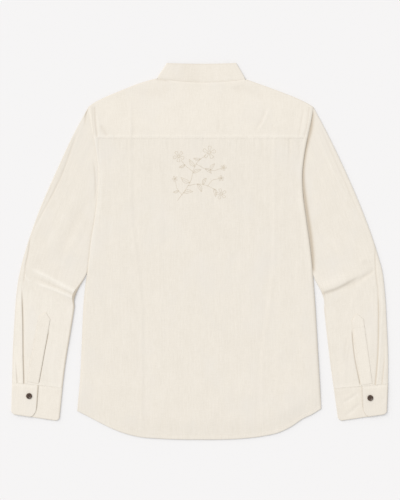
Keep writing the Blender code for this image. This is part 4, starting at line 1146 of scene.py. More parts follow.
@dataclass
class CollarBand:
    """Band collar: one strip from centre front round the neck and back to centre front."""

    widths: tuple[float, ...] = (0.0, 0.25, 0.6, 1.0, 1.6, 2.4, 3.6, 6.0, 9.0, 12.0, 15.5, 19.0, 22.5, 26.0)
    top_dip: float = 1.6
    more_widths: tuple[float, ...] = (29.0, 30.6, 31.8, 32.6, 33.2, 33.6, 33.85, 34.0)

    def stations(self) -> tuple[list[Array], list[Array], list[float], list[float]]:
        """Seam points, free edge points, shifts and heights along the band."""
        top_z = BAND_BACK_BOTTOM_Z + CAD_BAND_WALL
        radius = 0.5 * top_z
        middle = radius - 0.5 * CAD_BAND_WALL
        seams, frees, shifts, heights = [], [], [], []

        def add(seam: Array, free: Array, shift: float, z: float) -> None:
            seams.append(np.asarray(seam, float))
            frees.append(np.asarray(free, float))
            shifts.append(shift)
            heights.append(z)

        def front(side: int) -> list[tuple[Array, Array]]:
            found = []
            for step in (0.5, 1.0, 2.0, 3.4, 5.0, 7.0, 9.0, 11.0, 12.5, 15.0):
                start = BODY.near_centre_front(step, side)
                missing = max(BAND_END_ROUNDING - (step - 0.5), 0.0)
                cut = BAND_END_ROUNDING - math.sqrt(BAND_END_ROUNDING**2 - missing**2)
                free = BODY.band_top_point(90.0, side) + np.array((side * step, 0.0))
                found.append((start, mix(start, free, 1.0 - cut / 35.0)))
            for angle in spread(STRAIGHT_NECK_ANGLE, 11.0, 2.2):
                found.append((BODY.neck_point(angle, side), BODY.band_top_point(angle, side)))
            return found

        corners = {}
        for side in (-1, 1):
            seam = np.array(neck_corner(side)) + (0.0, SEAM_GAP)
            corners[side] = (seam, BODY.band_top_point(0.0, side))
        for seam, free in front(-1):
            add(seam, free, 0.0, 0.5 * CAD_BAND_WALL)
        for side in (-1, 1):
            seam, free = corners[side]
            for angle in spread(-90.0, 90.0, 12.0):
                turn = -side * math.radians(angle)
                add(seam, free, -side * (radius - middle * math.cos(turn)), radius + middle * math.sin(turn))
            if side < 0:
                for share in spread(0.0, 1.0, 0.014)[2:-2]:
                    seam_x = mix(corners[-1][0][0], corners[1][0][0], share)
                    free_x = mix(corners[-1][1][0], corners[1][1][0], share)
                    dip = self.top_dip * (1.0 - (2.0 * share - 1.0) ** 2)
                    start = (seam_x, float(BODY.back_neck_y(seam_x)) + 0.5 * SEAM_GAP - 0.22)
                    add(start, (free_x, BAND_TOP_Y - dip), 0.0, top_z - 0.5 * CAD_BAND_WALL)
        for seam, free in reversed(front(1)):
            add(seam, free, 0.0, 0.5 * CAD_BAND_WALL)
        return seams, frees, shifts, heights

    def grid(self) -> ClothGrid:
        """Points of the band, with rounded edges."""
        seams, frees, shifts, heights = self.stations()
        widths = np.array(self.widths + self.more_widths)
        share = widths / widths[-1]
        seam, free = np.array(seams), np.array(frees)
        flat = mix(seam[:, None], free[:, None], share[None, :, None])
        flat[..., 0] += np.array(shifts)[:, None]
        edge = np.minimum(widths, widths[-1] - widths)
        z = np.array(heights)[:, None] + np.zeros(len(widths))
        steps = np.linalg.norm(np.diff(mix(seam, free, 0.5), axis=0), axis=1)
        along = np.concatenate([[0.0], np.cumsum(steps)])
        upper = ease((z - 2.6) / 1.5)
        bow = 0.05 * irregular(along[:, None] + 0.2 * widths, 21.0, 31) + 0.16 * np.sin(math.pi * share)
        z = z + upper * bow * quarter_round(edge, 6.0)
        middle = np.concatenate([flat, z[..., None]], -1)
        for side in (-1, 1):
            near = bell(middle[..., 0] - neck_corner(side)[0], 4.0) * ease((z - 1.0) / 1.5)
            middle[..., 1] -= 3.4 * near * ease(1.0 - widths / 6.0)
        sewn = np.where(widths < 17.0, 0.8, 0.3)
        wall = (CAD_BAND_WALL - 0.1) * mix(sewn, 1.0, quarter_round(edge, 0.9))[None] * np.ones(z.shape)
        wall -= 0.14 * bell(edge - 2.0, 0.7)
        weave = np.stack(np.broadcast_arrays(along[:, None], widths[None]), -1)
        # Painted shade along the band's edges and over the turned right end, which faces away from the light;
        # darker over the turned left end, with a painted highlight beside it
        painted_shading = 0.22 * bell(edge, 1.0) * np.ones(z.shape)
        turned = bell(z - 2.65, 0.9) * (middle[..., 0] > 0.0)
        painted_shading = np.maximum(painted_shading, 0.34 * turned)
        left = bell(z - 2.65, 1.9, 4) * (middle[..., 0] < 0.0)
        from_left = middle[..., 0] - mix(neck_corner(-1)[0], BAND_TOP_CENTRE_X - BAND_TOP_HALF_WIDTH, share)
        painted_shading = painted_shading + 0.20 * left - 0.08 * (1.0 - left) * (1.0 - ease((from_left - 10.0) / 32.0)) * (z > 2.65)
        self.length = float(along[-1])
        middle, weave = np.swapaxes(middle, 0, 1), np.swapaxes(weave, 0, 1)
        return ClothGrid("shirt_band", middle, weave, wall.T, Facing.OUT, DOUBLE_CLOTH, painted_shading.T)

    def make(self) -> bpy.types.Object:
        grid = self.grid()
        outer = grid.outer_points()
        near = self.widths.index(2.4)
        self.stitches = [outer[near], outer[-1 - near], outer[near:-near, 3], outer[near:-near, -4]]
        piece = grid.build()
        declare(piece, "collar_band", (self.length, 35.0))
        return piece


@dataclass
class Sleeve:
    """Sleeve laid flat as a tube, with an elbow fold and pleats into its cuff."""

    side: int
    table: Sequence[tuple[float, float, float, float]]
    relief: Relief
    slit: Crease
    bulge: Crease
    pleats: Sequence[tuple[float, ...]]
    armhole_dip: float
    inner_dip: float
    pleat_bend: float
    edge_painted_shade: float
    shade: float = 0.0
    columns: int = 92
    seed: int = 40
    height: float = 4.2
    height_at_cuff: float = 3.9
    underlap_drop: float = 0.5
    body_gap: float = 0.12
    inner_slope: float = 9.0
    bow_length: float = 190.0
    pleat_width: float = 1.7
    pleat_run: float = 9.0
    pleat_fade: float = 60.0
    foot_row: int = 7
    cuff_rise: float = 0.55
    waves: float = 0.05

    def __post_init__(self) -> None:
        """Set out the tables along the sleeve."""
        steps = [math.dist(a[:2], b[:2]) for a, b in zip(self.table, self.table[1:])]
        self.downs = np.concatenate([[0.0], np.cumsum(steps)])
        self.curves = [SmoothTable(self.downs, column) for column in zip(*self.table)]
        self.foot = float(self.downs[self.foot_row])
        self.length = float(self.downs[-1])
        self.name = "sleeve_left" if self.side < 0 else "sleeve_right"

    def edges(self, down: Array) -> tuple[Array, Array]:
        """Outer and inner edge points at distances down the outer edge."""
        outer_x, outer_y, inner_x, inner_y = [curve(down) for curve in self.curves]
        body = side_edge(self.side)(inner_y) + self.side * self.body_gap
        inner_x = self.side * np.maximum(self.side * inner_x, self.side * body)
        inner_x = mix(body, inner_x, ease((-34.0 - inner_y) / 22.0))
        return np.stack([outer_x, outer_y], -1), np.stack([inner_x, inner_y], -1)

    def plan(self, down: Array, share: Array) -> tuple[Array, Array]:
        """Place on the flat at a share of the way from outer to inner edge."""
        outer, inner = self.edges(down)
        point = mix(outer, inner, share[..., None])
        seam_y = mix(self.table[0][1], self.table[0][3], share)
        seam_x = side_edge(self.side)(seam_y) + self.side * 0.08
        straight = mix(self.table[0][0], self.table[0][2], share)
        bow = (seam_x - straight) * ease(1.0 - down / self.bow_length)
        return point[..., 0] + bow, point[..., 1]

    def pleat_share(self, pleat: Sequence[float], down: Array) -> Array:
        """Where a pleat lies across the sleeve."""
        at_top, at_start, at_cuff, start = pleat[:4]
        starts = mix(self.foot, self.length, start)
        above = mix(at_top, at_start, np.clip(down / starts, 0.0, 1.0))
        below = np.clip((down - starts) / (self.length - starts), 0.0, 1.0)
        return mix(above, at_cuff, below**self.pleat_bend)

    def base(self, down: Array, share: Array, width: Array) -> tuple[Array, Array]:
        """Height and painted shading of the upper layer with its pleats, without its creases."""
        lower = np.clip((down - self.foot) / (self.length - self.foot), 0.0, 1.0)
        z = mix(self.height, self.height_at_cuff, lower)
        z = z - self.underlap_drop * lower * ease((share - 0.56) / 0.2)
        painted_shading = np.zeros(np.shape(z))
        for pleat in self.pleats:
            start, rise, dark = pleat[3:]
            reach = ease((down - mix(self.foot, self.length, start)) / self.pleat_fade)
            away = (self.pleat_share(pleat, down) - share) * width
            raised = ease(away / self.pleat_width + 0.5)
            raised = raised * bell(np.maximum(away, 0.0), self.pleat_run)
            groove = bell(away + 0.9 * self.pleat_width, self.pleat_width)
            z = z + rise * reach * (raised - 0.5 * groove)
            # Painted shade in each pleat's groove
            painted_shading = np.maximum(painted_shading, dark * reach * bell(away + 0.7, 1.5))
        return z, painted_shading

    def height_at(self, x: Array, y: Array) -> Array:
        """Upper layer's height at places on the lower sleeve, without the slit."""
        down = np.full(np.shape(x), self.foot)
        for _ in range(14):
            outer, inner = self.edges(down)
            span = inner - outer
            point = np.stack([x, y], -1) - outer
            share = (point * span).sum(-1) / (span**2).sum(-1)
            down = down + mix(outer[..., 1], inner[..., 1], share) - y
        width = np.linalg.norm(span, axis=-1)
        return self.base(down, share, width)[0] + self.relief.at(x, y)[0]

    def top(self, down: Array, share: Array, width: Array) -> tuple[Array, Array]:
        """Height and painted shading of the upper layer with all that runs over it."""
        x, y = self.plan(down, share)
        z, painted_shading = self.base(down, share, width)
        more, darker = self.relief.at(x, y)
        cut, cut_painted_shade = self.slit.profile(x, y)
        inset = np.minimum(share, 1.0 - share) * width
        from_inner = (1.0 - share) * width
        beside_body = 1.0 - ease((down - self.foot + 60.0) / 50.0)
        dip = self.inner_dip * beside_body * (1.0 - ease(from_inner / self.inner_slope))
        z = z + (more + cut) * ease(inset / 5.0) - dip + self.bulge.profile(x, y)[0]
        z = z + self.waves * irregular(share * width + 0.1 * down, 27.0, self.seed) * ease(inset / 14.0)
        z = z - self.armhole_dip * bell(down, 5.0)
        z = z + self.cuff_rise * bell(self.length - down, 5.0)
        # Painted shade in creases and the slit, and on the edge that faces away from the light; darker
        # towards the cuff by the sleeve's shade, lighter below 0; a painted highlight along the left sleeve's
        # outer strip
        painted_shading = stronger(stronger(painted_shading, darker), cut_painted_shade)
        painted_shading = stronger(painted_shading, self.edge_painted_shade * bell(inset, 2.4) * (self.side * (0.5 - share) > 0.0))
        painted_shading = painted_shading + self.shade * ease((down - self.foot) / 40.0)
        if self.side < 0:
            painted_shading = painted_shading - 0.045 * bell(share * width - 6.0, 5.5, 4)
        return z, painted_shading

    def spread_columns(self, down: Array, low: Array, high: Array, width: Array) -> Array:
        """Places across the upper layer in mm, closer together at the pleats and the slit."""
        fine = np.linspace(0.0, 1.0, 500)
        at = mix(low, high, fine[None])
        density = np.full(at.shape, 1.0)
        density += 2.2 * bell(at - low, 2.5) + 2.2 * bell(high - at, 2.5)
        for pleat in self.pleats:
            density += 3.2 * bell(at - self.pleat_share(pleat, down) * width, 1.9)
        slit = mix(0.66, 0.51, np.clip((down - self.foot) / (self.length - self.foot), 0.0, 1.0))
        density += 2.0 * bell(at - slit * width, 3.0)
        total = np.cumsum(density, axis=1)
        total = (total - total[:, :1]) / (total[:, -1:] - total[:, :1])
        wanted = np.linspace(0.0, 1.0, self.columns + 2)[1:-1]
        return np.stack([np.interp(wanted, row, places) for row, places in zip(total, at)])

    def grid(self) -> ClothGrid:
        """Points round and along the sleeve."""
        elbow = self.foot
        downs = np.concatenate(
            [
                np.array([0.0, 0.5, 1.2, 2.2, 3.6]),
                spread(5.5, elbow - 34.0, 3.7),
                spread(elbow - 34.0, elbow + 34.0, 1.35)[1:],
                spread(elbow + 34.0, self.length - 4.0, 3.3)[1:],
                self.length - np.array([2.6, 1.5, 0.7, 0.0]),
            ]
        )[:, None]
        outer, inner = self.edges(downs[:, 0])
        width = np.linalg.norm(inner - outer, axis=-1)[:, None]
        half = 0.5 * SINGLE_WALL
        radius = [0.5 * self.top(downs, np.full(downs.shape, float(end)), width)[0] for end in (0, 1)]
        angles = np.radians(spread(-90.0, 90.0, 15.0))[None]
        notch = bell(downs - elbow - 6.0, 26.0)
        beside_body = 1.0 - ease((downs - elbow + 30.0) / 30.0)
        reach = [(1.5 + 0.3 * self.side) * radius[0], mix(mix(1.5, 2.0, notch), 0.4, beside_body) * radius[1]]
        first = reach[0] - (reach[0] - half) * np.cos(angles)
        last = width - reach[1] + (reach[1] - half) * np.cos(angles[:, ::-1])
        middles = self.spread_columns(downs, reach[0], width - reach[1], width)
        back_places = mix(width - reach[1], reach[0], np.linspace(0.0, 1.0, 36)[None, 1:-1])
        offsets = np.concatenate([first, middles, last, back_places], axis=1)
        tops, painted_shading = self.top(downs, middles / width, width)
        z = np.concatenate(
            [
                radius[0] + (radius[0] - half) * np.sin(angles),
                tops - half,
                radius[1] + (radius[1] - half) * np.sin(angles[:, ::-1]),
                np.full(back_places.shape, half),
            ],
            axis=1,
        )
        x, y = self.plan(downs, offsets / width)
        # Painted shading round the ring: crease shade on the folds, more painted shade on the fold that faces
        # away from the light, a little on the lit fold, and deep painted shade in the left elbow notch
        shade = self.relief.at(x, y)[1]
        start, end = first.shape[1], first.shape[1] + tops.shape[1]
        shade[:, start:end] = painted_shading
        shade[:, -back_places.shape[1] :] = 0.0
        outer_fold, inner_fold = slice(0, start), slice(end, end + last.shape[1])
        dark_fold, lit_fold = (outer_fold, inner_fold) if self.side > 0 else (inner_fold, outer_fold)
        shade[:, dark_fold] += 1.2 * self.edge_painted_shade * (1.0 - beside_body * (self.side < 0))
        shade[:, lit_fold] += 0.11 * (1.0 - beside_body * (self.side > 0))
        if self.side < 0:
            shade[:, inner_fold] = mix(shade[:, inner_fold], 0.7, notch)
        middle = np.stack([x, y, z], -1)
        closed = np.concatenate([middle, middle[:, :1]], axis=1)
        around = np.cumsum(np.linalg.norm(np.diff(closed, axis=1), axis=-1), axis=1)
        around = np.concatenate([np.zeros((len(downs), 1)), around], axis=1)
        weave = np.stack([around, np.broadcast_to(-downs, around.shape)], -1)
        wall = np.full(x.shape, SINGLE_WALL)
        lengths = np.linalg.norm(np.diff(middle, axis=0), axis=-1).sum(0)
        self.area = float(np.mean(around[:, -1])) * float(np.mean(lengths))
        self.cut_width = float(around[:, -1].max())
        name = f"shirt_{self.name}"
        return ClothGrid(name, middle, weave, wall, Facing.OUT, SLEEVE_CLOTH, shade, closed=True)

    def make(self) -> bpy.types.Object:
        piece = self.grid().build()
        declare(piece, self.name, (self.cut_width, self.length))
        return piece


@dataclass
class Placket:
    """Pointed strip along the sleeve slit, boxed off with stitches below its point."""

    sleeve: Sleeve
    base: Point
    tip: Point
    width: float = 25.0
    point: float = 13.0
    wall: float = 0.95
    box_below_point: float = 15.0
    wave: float = 0.06

    def __post_init__(self) -> None:
        """Name the strip after its sleeve."""
        self.name = "placket_left" if self.sleeve.side < 0 else "placket_right"

    def grid(self) -> ClothGrid:
        """Points of the strip, laid on the sleeve."""
        base, tip = np.array(self.base), np.array(self.tip)
        length = float(np.linalg.norm(tip - base))
        axis = (tip - base) / length
        across = np.array((axis[1], -axis[0]))
        shoulder = length - self.point
        ends = np.array([0.0, 0.3, 0.7, 1.2, 2.0, 3.0, 4.5])
        along = np.concatenate([ends, spread(6.5, shoulder - 2.0, 2.3), [shoulder]])
        beyond = shoulder + self.point * np.array([0.12, 0.28, 0.45, 0.62, 0.76, 0.87, 0.95, 1.0])
        taper = np.interp(beyond - shoulder, [0.0, self.point], [1.0, 0.03])
        widths = np.concatenate([np.ones(len(along)), taper])
        along = np.concatenate([along, beyond])
        half = 0.5 * self.width
        sides = np.array([0.0, 0.25, 0.6, 1.1, 1.7, 2.6, 4.0, 6.0, 9.0])
        places = np.concatenate([-half + sides, [0.0], half - sides[::-1]])
        offset = places[None] * widths[:, None]
        x = base[0] + axis[0] * along[:, None] + across[0] * offset
        y = base[1] + axis[1] * along[:, None] + across[1] * offset
        from_end = np.minimum(along, length - along)[:, None]
        inset = np.minimum(half * widths[:, None] - np.abs(offset), from_end)
        z = self.sleeve.height_at(x, y) + SEAM_GAP + 0.5 * self.wall
        z = z - 0.30 * (1.0 - quarter_round(inset, 3.0))
        z = z + self.wave * irregular(along[:, None] + 0.6 * offset, 21.0, 51) * ease(inset / 5.0)
        wall = self.wall * mix(0.16, 1.0, quarter_round(inset, 2.4)) - 0.07 * bell(inset - 1.7, 0.6)
        # Painted shade along the strip's edges
        painted_shading = 0.10 * bell(inset, 0.8)
        weave = np.stack([np.broadcast_to(offset, x.shape), np.broadcast_to(along[:, None], x.shape)], -1)
        self.size = (self.width, length)
        self.box_rows = (len(ends) + 2, int(np.argmin(np.abs(along - (shoulder - self.box_below_point)))))
        middle = np.stack([x, y, z], -1)
        return ClothGrid(f"shirt_{self.name}", middle, weave, wall, Facing.UP, DOUBLE_CLOTH, painted_shading)

    def make(self) -> bpy.types.Object:
        grid = self.grid()
        self.stitches = self.stitch_lines(grid)
        piece = grid.build()
        declare(piece, self.name, self.size)
        return piece

    def stitch_lines(self, grid: ClothGrid) -> list[Array]:
        """Edge stitches and the stitched box below the point."""
        outer = grid.outer_points()
        column, box = 4, self.box_rows[1]
        tip = outer.shape[0] - 3
        middle = outer.shape[1] // 2
        left, right = outer[1:tip, column], outer[1:tip, -1 - column][::-1]
        edge = np.concatenate([left, outer[tip : tip + 1, middle], right])
        return [edge, outer[box, column : outer.shape[1] - column]]


@dataclass
class Cuff:
    """Cuff strip wrapped flat, with its buttoned end lapped over the other."""

    side: int
    seam_outer: Point
    seam_inner: Point
    free_outer: Point
    free_inner: Point
    lap_share: float
    relief: Relief = Relief()
    lap_painted_shade: float = 0.8
    shade: float = 0.0
    lap_top: float = 5.1
    underlap_top: float = 3.4
    corner: float = 14.0
    corner_drop: float = 27.0
    side_corner: float = 9.0
    seam_level: Point = (4.5, 4.05)
    seam_slope: float = 9.0
    wall: float = DOUBLE_WALL
    upper_from: float = 2.4
    off_lap: float = 99.0

    def __post_init__(self) -> None:
        """Name the cuff after its side."""
        self.name = "cuff_left" if self.side < 0 else "cuff_right"

    def path(self, width: float) -> list[tuple[float, float, float]]:
        """Steps round the wrapped strip: place across, height and distance from the lap's end."""
        lap = self.lap_share * width
        half = 0.5 * self.wall
        found = []
        ends = (0.0, 0.25, 0.6, 1.1, 1.7, 2.6, 4.0, 6.0, 8.0, 10.0, 12.0, 14.0)
        for step in (*ends, *spread(16.4, lap - 0.5 * self.lap_top, 2.4)[:-1]):
            found.append((lap - step, self.lap_top - half, step))

        def fold(top: float, at_end: bool) -> None:
            radius = 0.5 * top
            for angle in np.radians(spread(90.0, -90.0, 15.0)[:: -1 if at_end else 1]):
                reach = (radius - half) * math.cos(angle)
                place = width - radius + reach if at_end else radius - reach
                found.append((place, radius + (radius - half) * math.sin(angle), self.off_lap))

        fold(self.lap_top, False)
        for place in spread(0.5 * self.lap_top, width - 0.5 * self.underlap_top, 4.0)[1:-1]:
            found.append((place, half, self.off_lap))
        fold(self.underlap_top, True)
        for place in spread(width - 0.5 * self.underlap_top, 0.26 * width, 2.8)[1:]:
            found.append((place, self.underlap_top - half, self.off_lap))
        return found

    def grid(self) -> ClothGrid:
        """Points of the cuff, with rounded edges and soft ripples."""
        seam_outer, seam_inner = np.array(self.seam_outer), np.array(self.seam_inner)
        free_outer, free_inner = np.array(self.free_outer), np.array(self.free_inner)
        depth = float(np.linalg.norm(free_outer - seam_outer))
        width = float(np.linalg.norm(seam_inner - seam_outer))
        steps = np.array([0.0, 0.25, 0.6, 1.1, 1.7, 2.6, 4.0, 6.0])
        downs = np.concatenate([steps, spread(8.0, depth - 8.0, 2.6), depth - steps[::-1]])[:, None]
        place, z, from_end = [np.array(values)[None] for values in zip(*self.path(width))]
        missing = np.clip(1.0 - from_end / self.corner, 0.0, 1.0)
        cut = self.corner_drop * (1.0 - np.sqrt(1.0 - missing**2))
        from_side = np.minimum(place, width - place)
        missing = np.clip(1.0 - from_side / self.side_corner, 0.0, 1.0)
        cut = np.maximum(cut, self.side_corner * (1.0 - np.sqrt(1.0 - missing**2)))
        along = mix(0.05 / depth, 1.0 - cut / depth, downs / depth)
        across = place / width
        point = mix(
            mix(seam_outer, seam_inner, across[..., None]),
            mix(free_outer, free_inner, across[..., None]),
            along[..., None],
        )
        inset = np.minimum(np.minimum(downs, depth - downs), from_end)
        ripple = 0.09 * irregular(place + 0.3 * downs, 24.0, 61 + self.side)
        ripple = ripple * ease((z - self.upper_from) / 1.2)
        more = self.relief.at(point[..., 0], point[..., 1])[0] * (z > self.upper_from)
        z = z + (ripple + more) * quarter_round(inset, 8.0)
        sewn = np.where(downs < 0.5 * depth, 0.95, 0.3)
        wall = (self.wall - 0.05) * mix(sewn, 1.0, quarter_round(inset, 1.2))
        wall = wall - 0.14 * bell(inset - 1.9, 0.7)
        lapped = place < self.lap_share * width
        off_lap = from_end >= self.off_lap
        pressed = ~off_lap | (lapped & (place < 3.0))
        lap_level, underlap_level = self.seam_level[0] / self.lap_top, self.seam_level[1] / self.underlap_top
        level = np.where(pressed, lap_level, np.where(lapped, 1.0, underlap_level))
        level = np.where((z < 0.5 * self.wall + 0.02) & off_lap, 1.0, level)
        z = 0.5 * self.wall + (z - 0.5 * self.wall) * mix(level, 1.0, ease(downs / self.seam_slope))
        middle = np.stack([point[..., 0], point[..., 1], np.broadcast_to(z, point.shape[:2])], -1)
        around = np.linalg.norm(np.diff(middle[len(middle) // 2], axis=0), axis=-1)
        around = np.concatenate([[0.0], np.cumsum(around)])
        weave = np.stack(np.broadcast_arrays(around[None], -downs), -1)
        # Painted shade along the free edges, strongest on the right edge, which faces away from the light,
        # and as a painted shadow under the lapped end; a painted highlight just below the seam; darker
        # overall by the cuff's shade
        free = np.minimum(depth - downs, from_end)
        painted_shading = 0.3 * bell(free, 1.1) * np.ones(wall.shape)
        from_right = width - place if self.side < 0 else place
        painted_shading = np.maximum(painted_shading, 0.40 * bell(from_right, 2.2))
        painted_shading = np.maximum(painted_shading, 0.12 * bell(width - from_right, 2.6))
        painted_shading = np.maximum(painted_shading, self.lap_painted_shade * bell(from_end, 1.5))
        painted_shading = painted_shading + (self.shade - 0.05 * bell(downs - 3.5, 3.0, 4)) * (z > self.upper_from)
        self.size = (float(around[-1]), depth)
        self.lap_columns = int(np.argmin(np.abs(place[0, :40] - (self.lap_share * width - 1.7))))
        return ClothGrid(f"shirt_{self.name}", middle, weave, wall, Facing.OUT, DOUBLE_CLOTH, painted_shading)

    def make(self) -> bpy.types.Object:
        grid = self.grid()
        outer = grid.outer_points()
        column = self.lap_columns
        self.stitches = [outer[4, column:], outer[-5, column:], outer[4:-4, column]]
        piece = grid.build()
        declare(piece, self.name, self.size)
        return piece


@dataclass
class Button:
    """Turned four-hole button with a rolled rim, sewn on with pale thread."""

    name: str
    node: str
    centre: Point
    bottom: float
    radius: float
    thickness: float
    face_up: bool = True
    segments: int = 44
    hole: float = 0.95
    hole_away: float = 1.75

    def shape(self) -> Array:
        """Half section from the middle of the face over the rim to the middle of the back."""
        section = [
            # share of the radius, share of the thickness
            (0, 0.60),
            (0.30, 0.60),
            (0.48, 0.62),
            (0.57, 0.68),
            (0.64, 0.80),
            (0.71, 0.92),
            (0.79, 0.99),
            (0.86, 0.99),
            (0.93, 0.92),
            (0.98, 0.78),
            (1, 0.58),
            (0.985, 0.40),
            (0.93, 0.22),
            (0.82, 0.08),
            (0.66, 0),
            (0, 0),
        ]
        return np.array(section) * (self.radius, self.thickness)

    def body(self) -> bmesh.types.BMesh:
        """Turned body in metres, before its holes."""
        builder = bmesh.new()
        verts = [builder.verts.new((out * MM, 0.0, up * MM)) for out, up in self.shape()]
        edges = [builder.edges.new(pair) for pair in zip(verts, verts[1:])]
        bmesh.ops.spin(
            builder,
            geom=verts + edges,
            cent=(0.0, 0.0, 0.0),
            axis=(0.0, 0.0, 1.0),
            angle=math.tau,
            steps=self.segments,
        )
        bmesh.ops.remove_doubles(builder, verts=builder.verts[:], dist=0.004 * MM)
        bmesh.ops.recalc_face_normals(builder, faces=builder.faces[:])
        return builder

    def hole_places(self) -> list[Point]:
        """Middles of the four holes."""
        turns = np.radians([45, 135, 225, 315])
        return [(self.hole_away * math.cos(turn), self.hole_away * math.sin(turn)) for turn in turns]

    def drilled(self) -> bpy.types.Mesh:
        """Body with its four holes, as a mesh."""
        drills = bmesh.new()
        for x, y in self.hole_places():
            bmesh.ops.create_cone(
                drills,
                cap_ends=True,
                segments=14,
                radius1=self.hole * MM,
                radius2=self.hole * MM,
                depth=4.0 * self.thickness * MM,
                matrix=Matrix.Translation((x * MM, y * MM, 0.0)),
            )
        items = []
        for part, builder in (("body", self.body()), ("drills", drills)):
            mesh = bpy.data.meshes.new(f"{self.name}_{part}")
            builder.to_mesh(mesh)
            builder.free()
            items.append(add_object(mesh.name, mesh))
        cut = items[0].modifiers.new("holes", "BOOLEAN")
        cut.object = items[1]
        cut.operation = "DIFFERENCE"
        cut.solver = "EXACT"
        result = evaluated_mesh(items[0])
        for item in items:
            bpy.data.objects.remove(item)
        return result

    def thread(self, builder: bmesh.types.BMesh) -> None:
        """Add strands of thread over the face from hole to hole, crossing in the middle."""
        holes = self.hole_places()
        face = 0.60 * self.thickness
        for order, (start, end) in enumerate(((0, 2), (1, 3))):
            for offset in (-0.42, 0.0, 0.42):
                a, b = np.array(holes[start]), np.array(holes[end])
                along = (b - a) / np.linalg.norm(b - a)
                aside = np.array((-along[1], along[0])) * offset
                points = []
                for share in np.linspace(0.0, 1.0, 11):
                    rise = math.sin(math.pi * share) ** 0.7
                    place = mix(a, b, mix(0.06, 0.94, share)) + aside
                    top = face - 0.5 + (0.5 + 0.30 + 0.34 * order) * rise
                    points.append(Vector((place[0] * MM, place[1] * MM, top * MM)))
                add_tube(builder, points, 0.24 * MM, 6)

    def make(self) -> bpy.types.Object:
        """Build the button and sew it on."""
        mesh = self.drilled()
        builder = bmesh.new()
        builder.from_mesh(mesh)
        known = len(builder.faces)
        self.thread(builder)
        builder.faces.ensure_lookup_table()
        for face in builder.faces[known:]:
            face.material_index = 1
        turn = Matrix.Identity(4)
        lift = self.bottom * MM
        if not self.face_up:
            turn = Matrix.Rotation(math.pi, 4, "X")
            lift += self.thickness * MM
        place = Matrix.Translation((self.centre[0] * MM, self.centre[1] * MM, lift))
        bmesh.ops.transform(builder, matrix=place @ turn, verts=builder.verts[:])
        builder.to_mesh(mesh)
        builder.free()
        mesh.materials.clear()
        mesh.materials.append(HORN.material())
        mesh.materials.append(BUTTON_THREAD.material())
        mesh.shade_smooth()
        mesh.set_sharp_from_angle(angle=math.radians(38.0))
        mesh.name = self.name
        piece = add_object(self.name, mesh)
        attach(piece, "root")
        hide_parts(self.node)
        LOG.info("%s: %d faces", piece.name, len(mesh.polygons))
        return piece


def add_tube(builder: bmesh.types.BMesh, points: Sequence[Vector], radius: float, sides: int) -> None:
    """Add a closed round tube along points.

    Args:
        builder: Mesh that gets the tube.
        points: Middle line of the tube.
        radius: Its radius.
        sides: Number of its sides.
    """
    rings = []
    for index, point in enumerate(points):
        ahead = points[min(index + 1, len(points) - 1)] - points[max(index - 1, 0)]
        side = ahead.cross(Vector((0.0, 0.0, 1.0))).normalized()
        up = side.cross(ahead).normalized()
        ring = []
        for turn in range(sides):
            angle = math.tau * turn / sides
            ring.append(builder.verts.new(point + radius * (math.cos(angle) * side + math.sin(angle) * up)))
        rings.append(ring)
    for first, second in zip(rings, rings[1:]):
        for turn in range(sides):
            after = (turn + 1) % sides
            builder.faces.new((first[after], first[turn], second[turn], second[after]))
    builder.faces.new(rings[0])
    builder.faces.new(rings[-1][::-1])


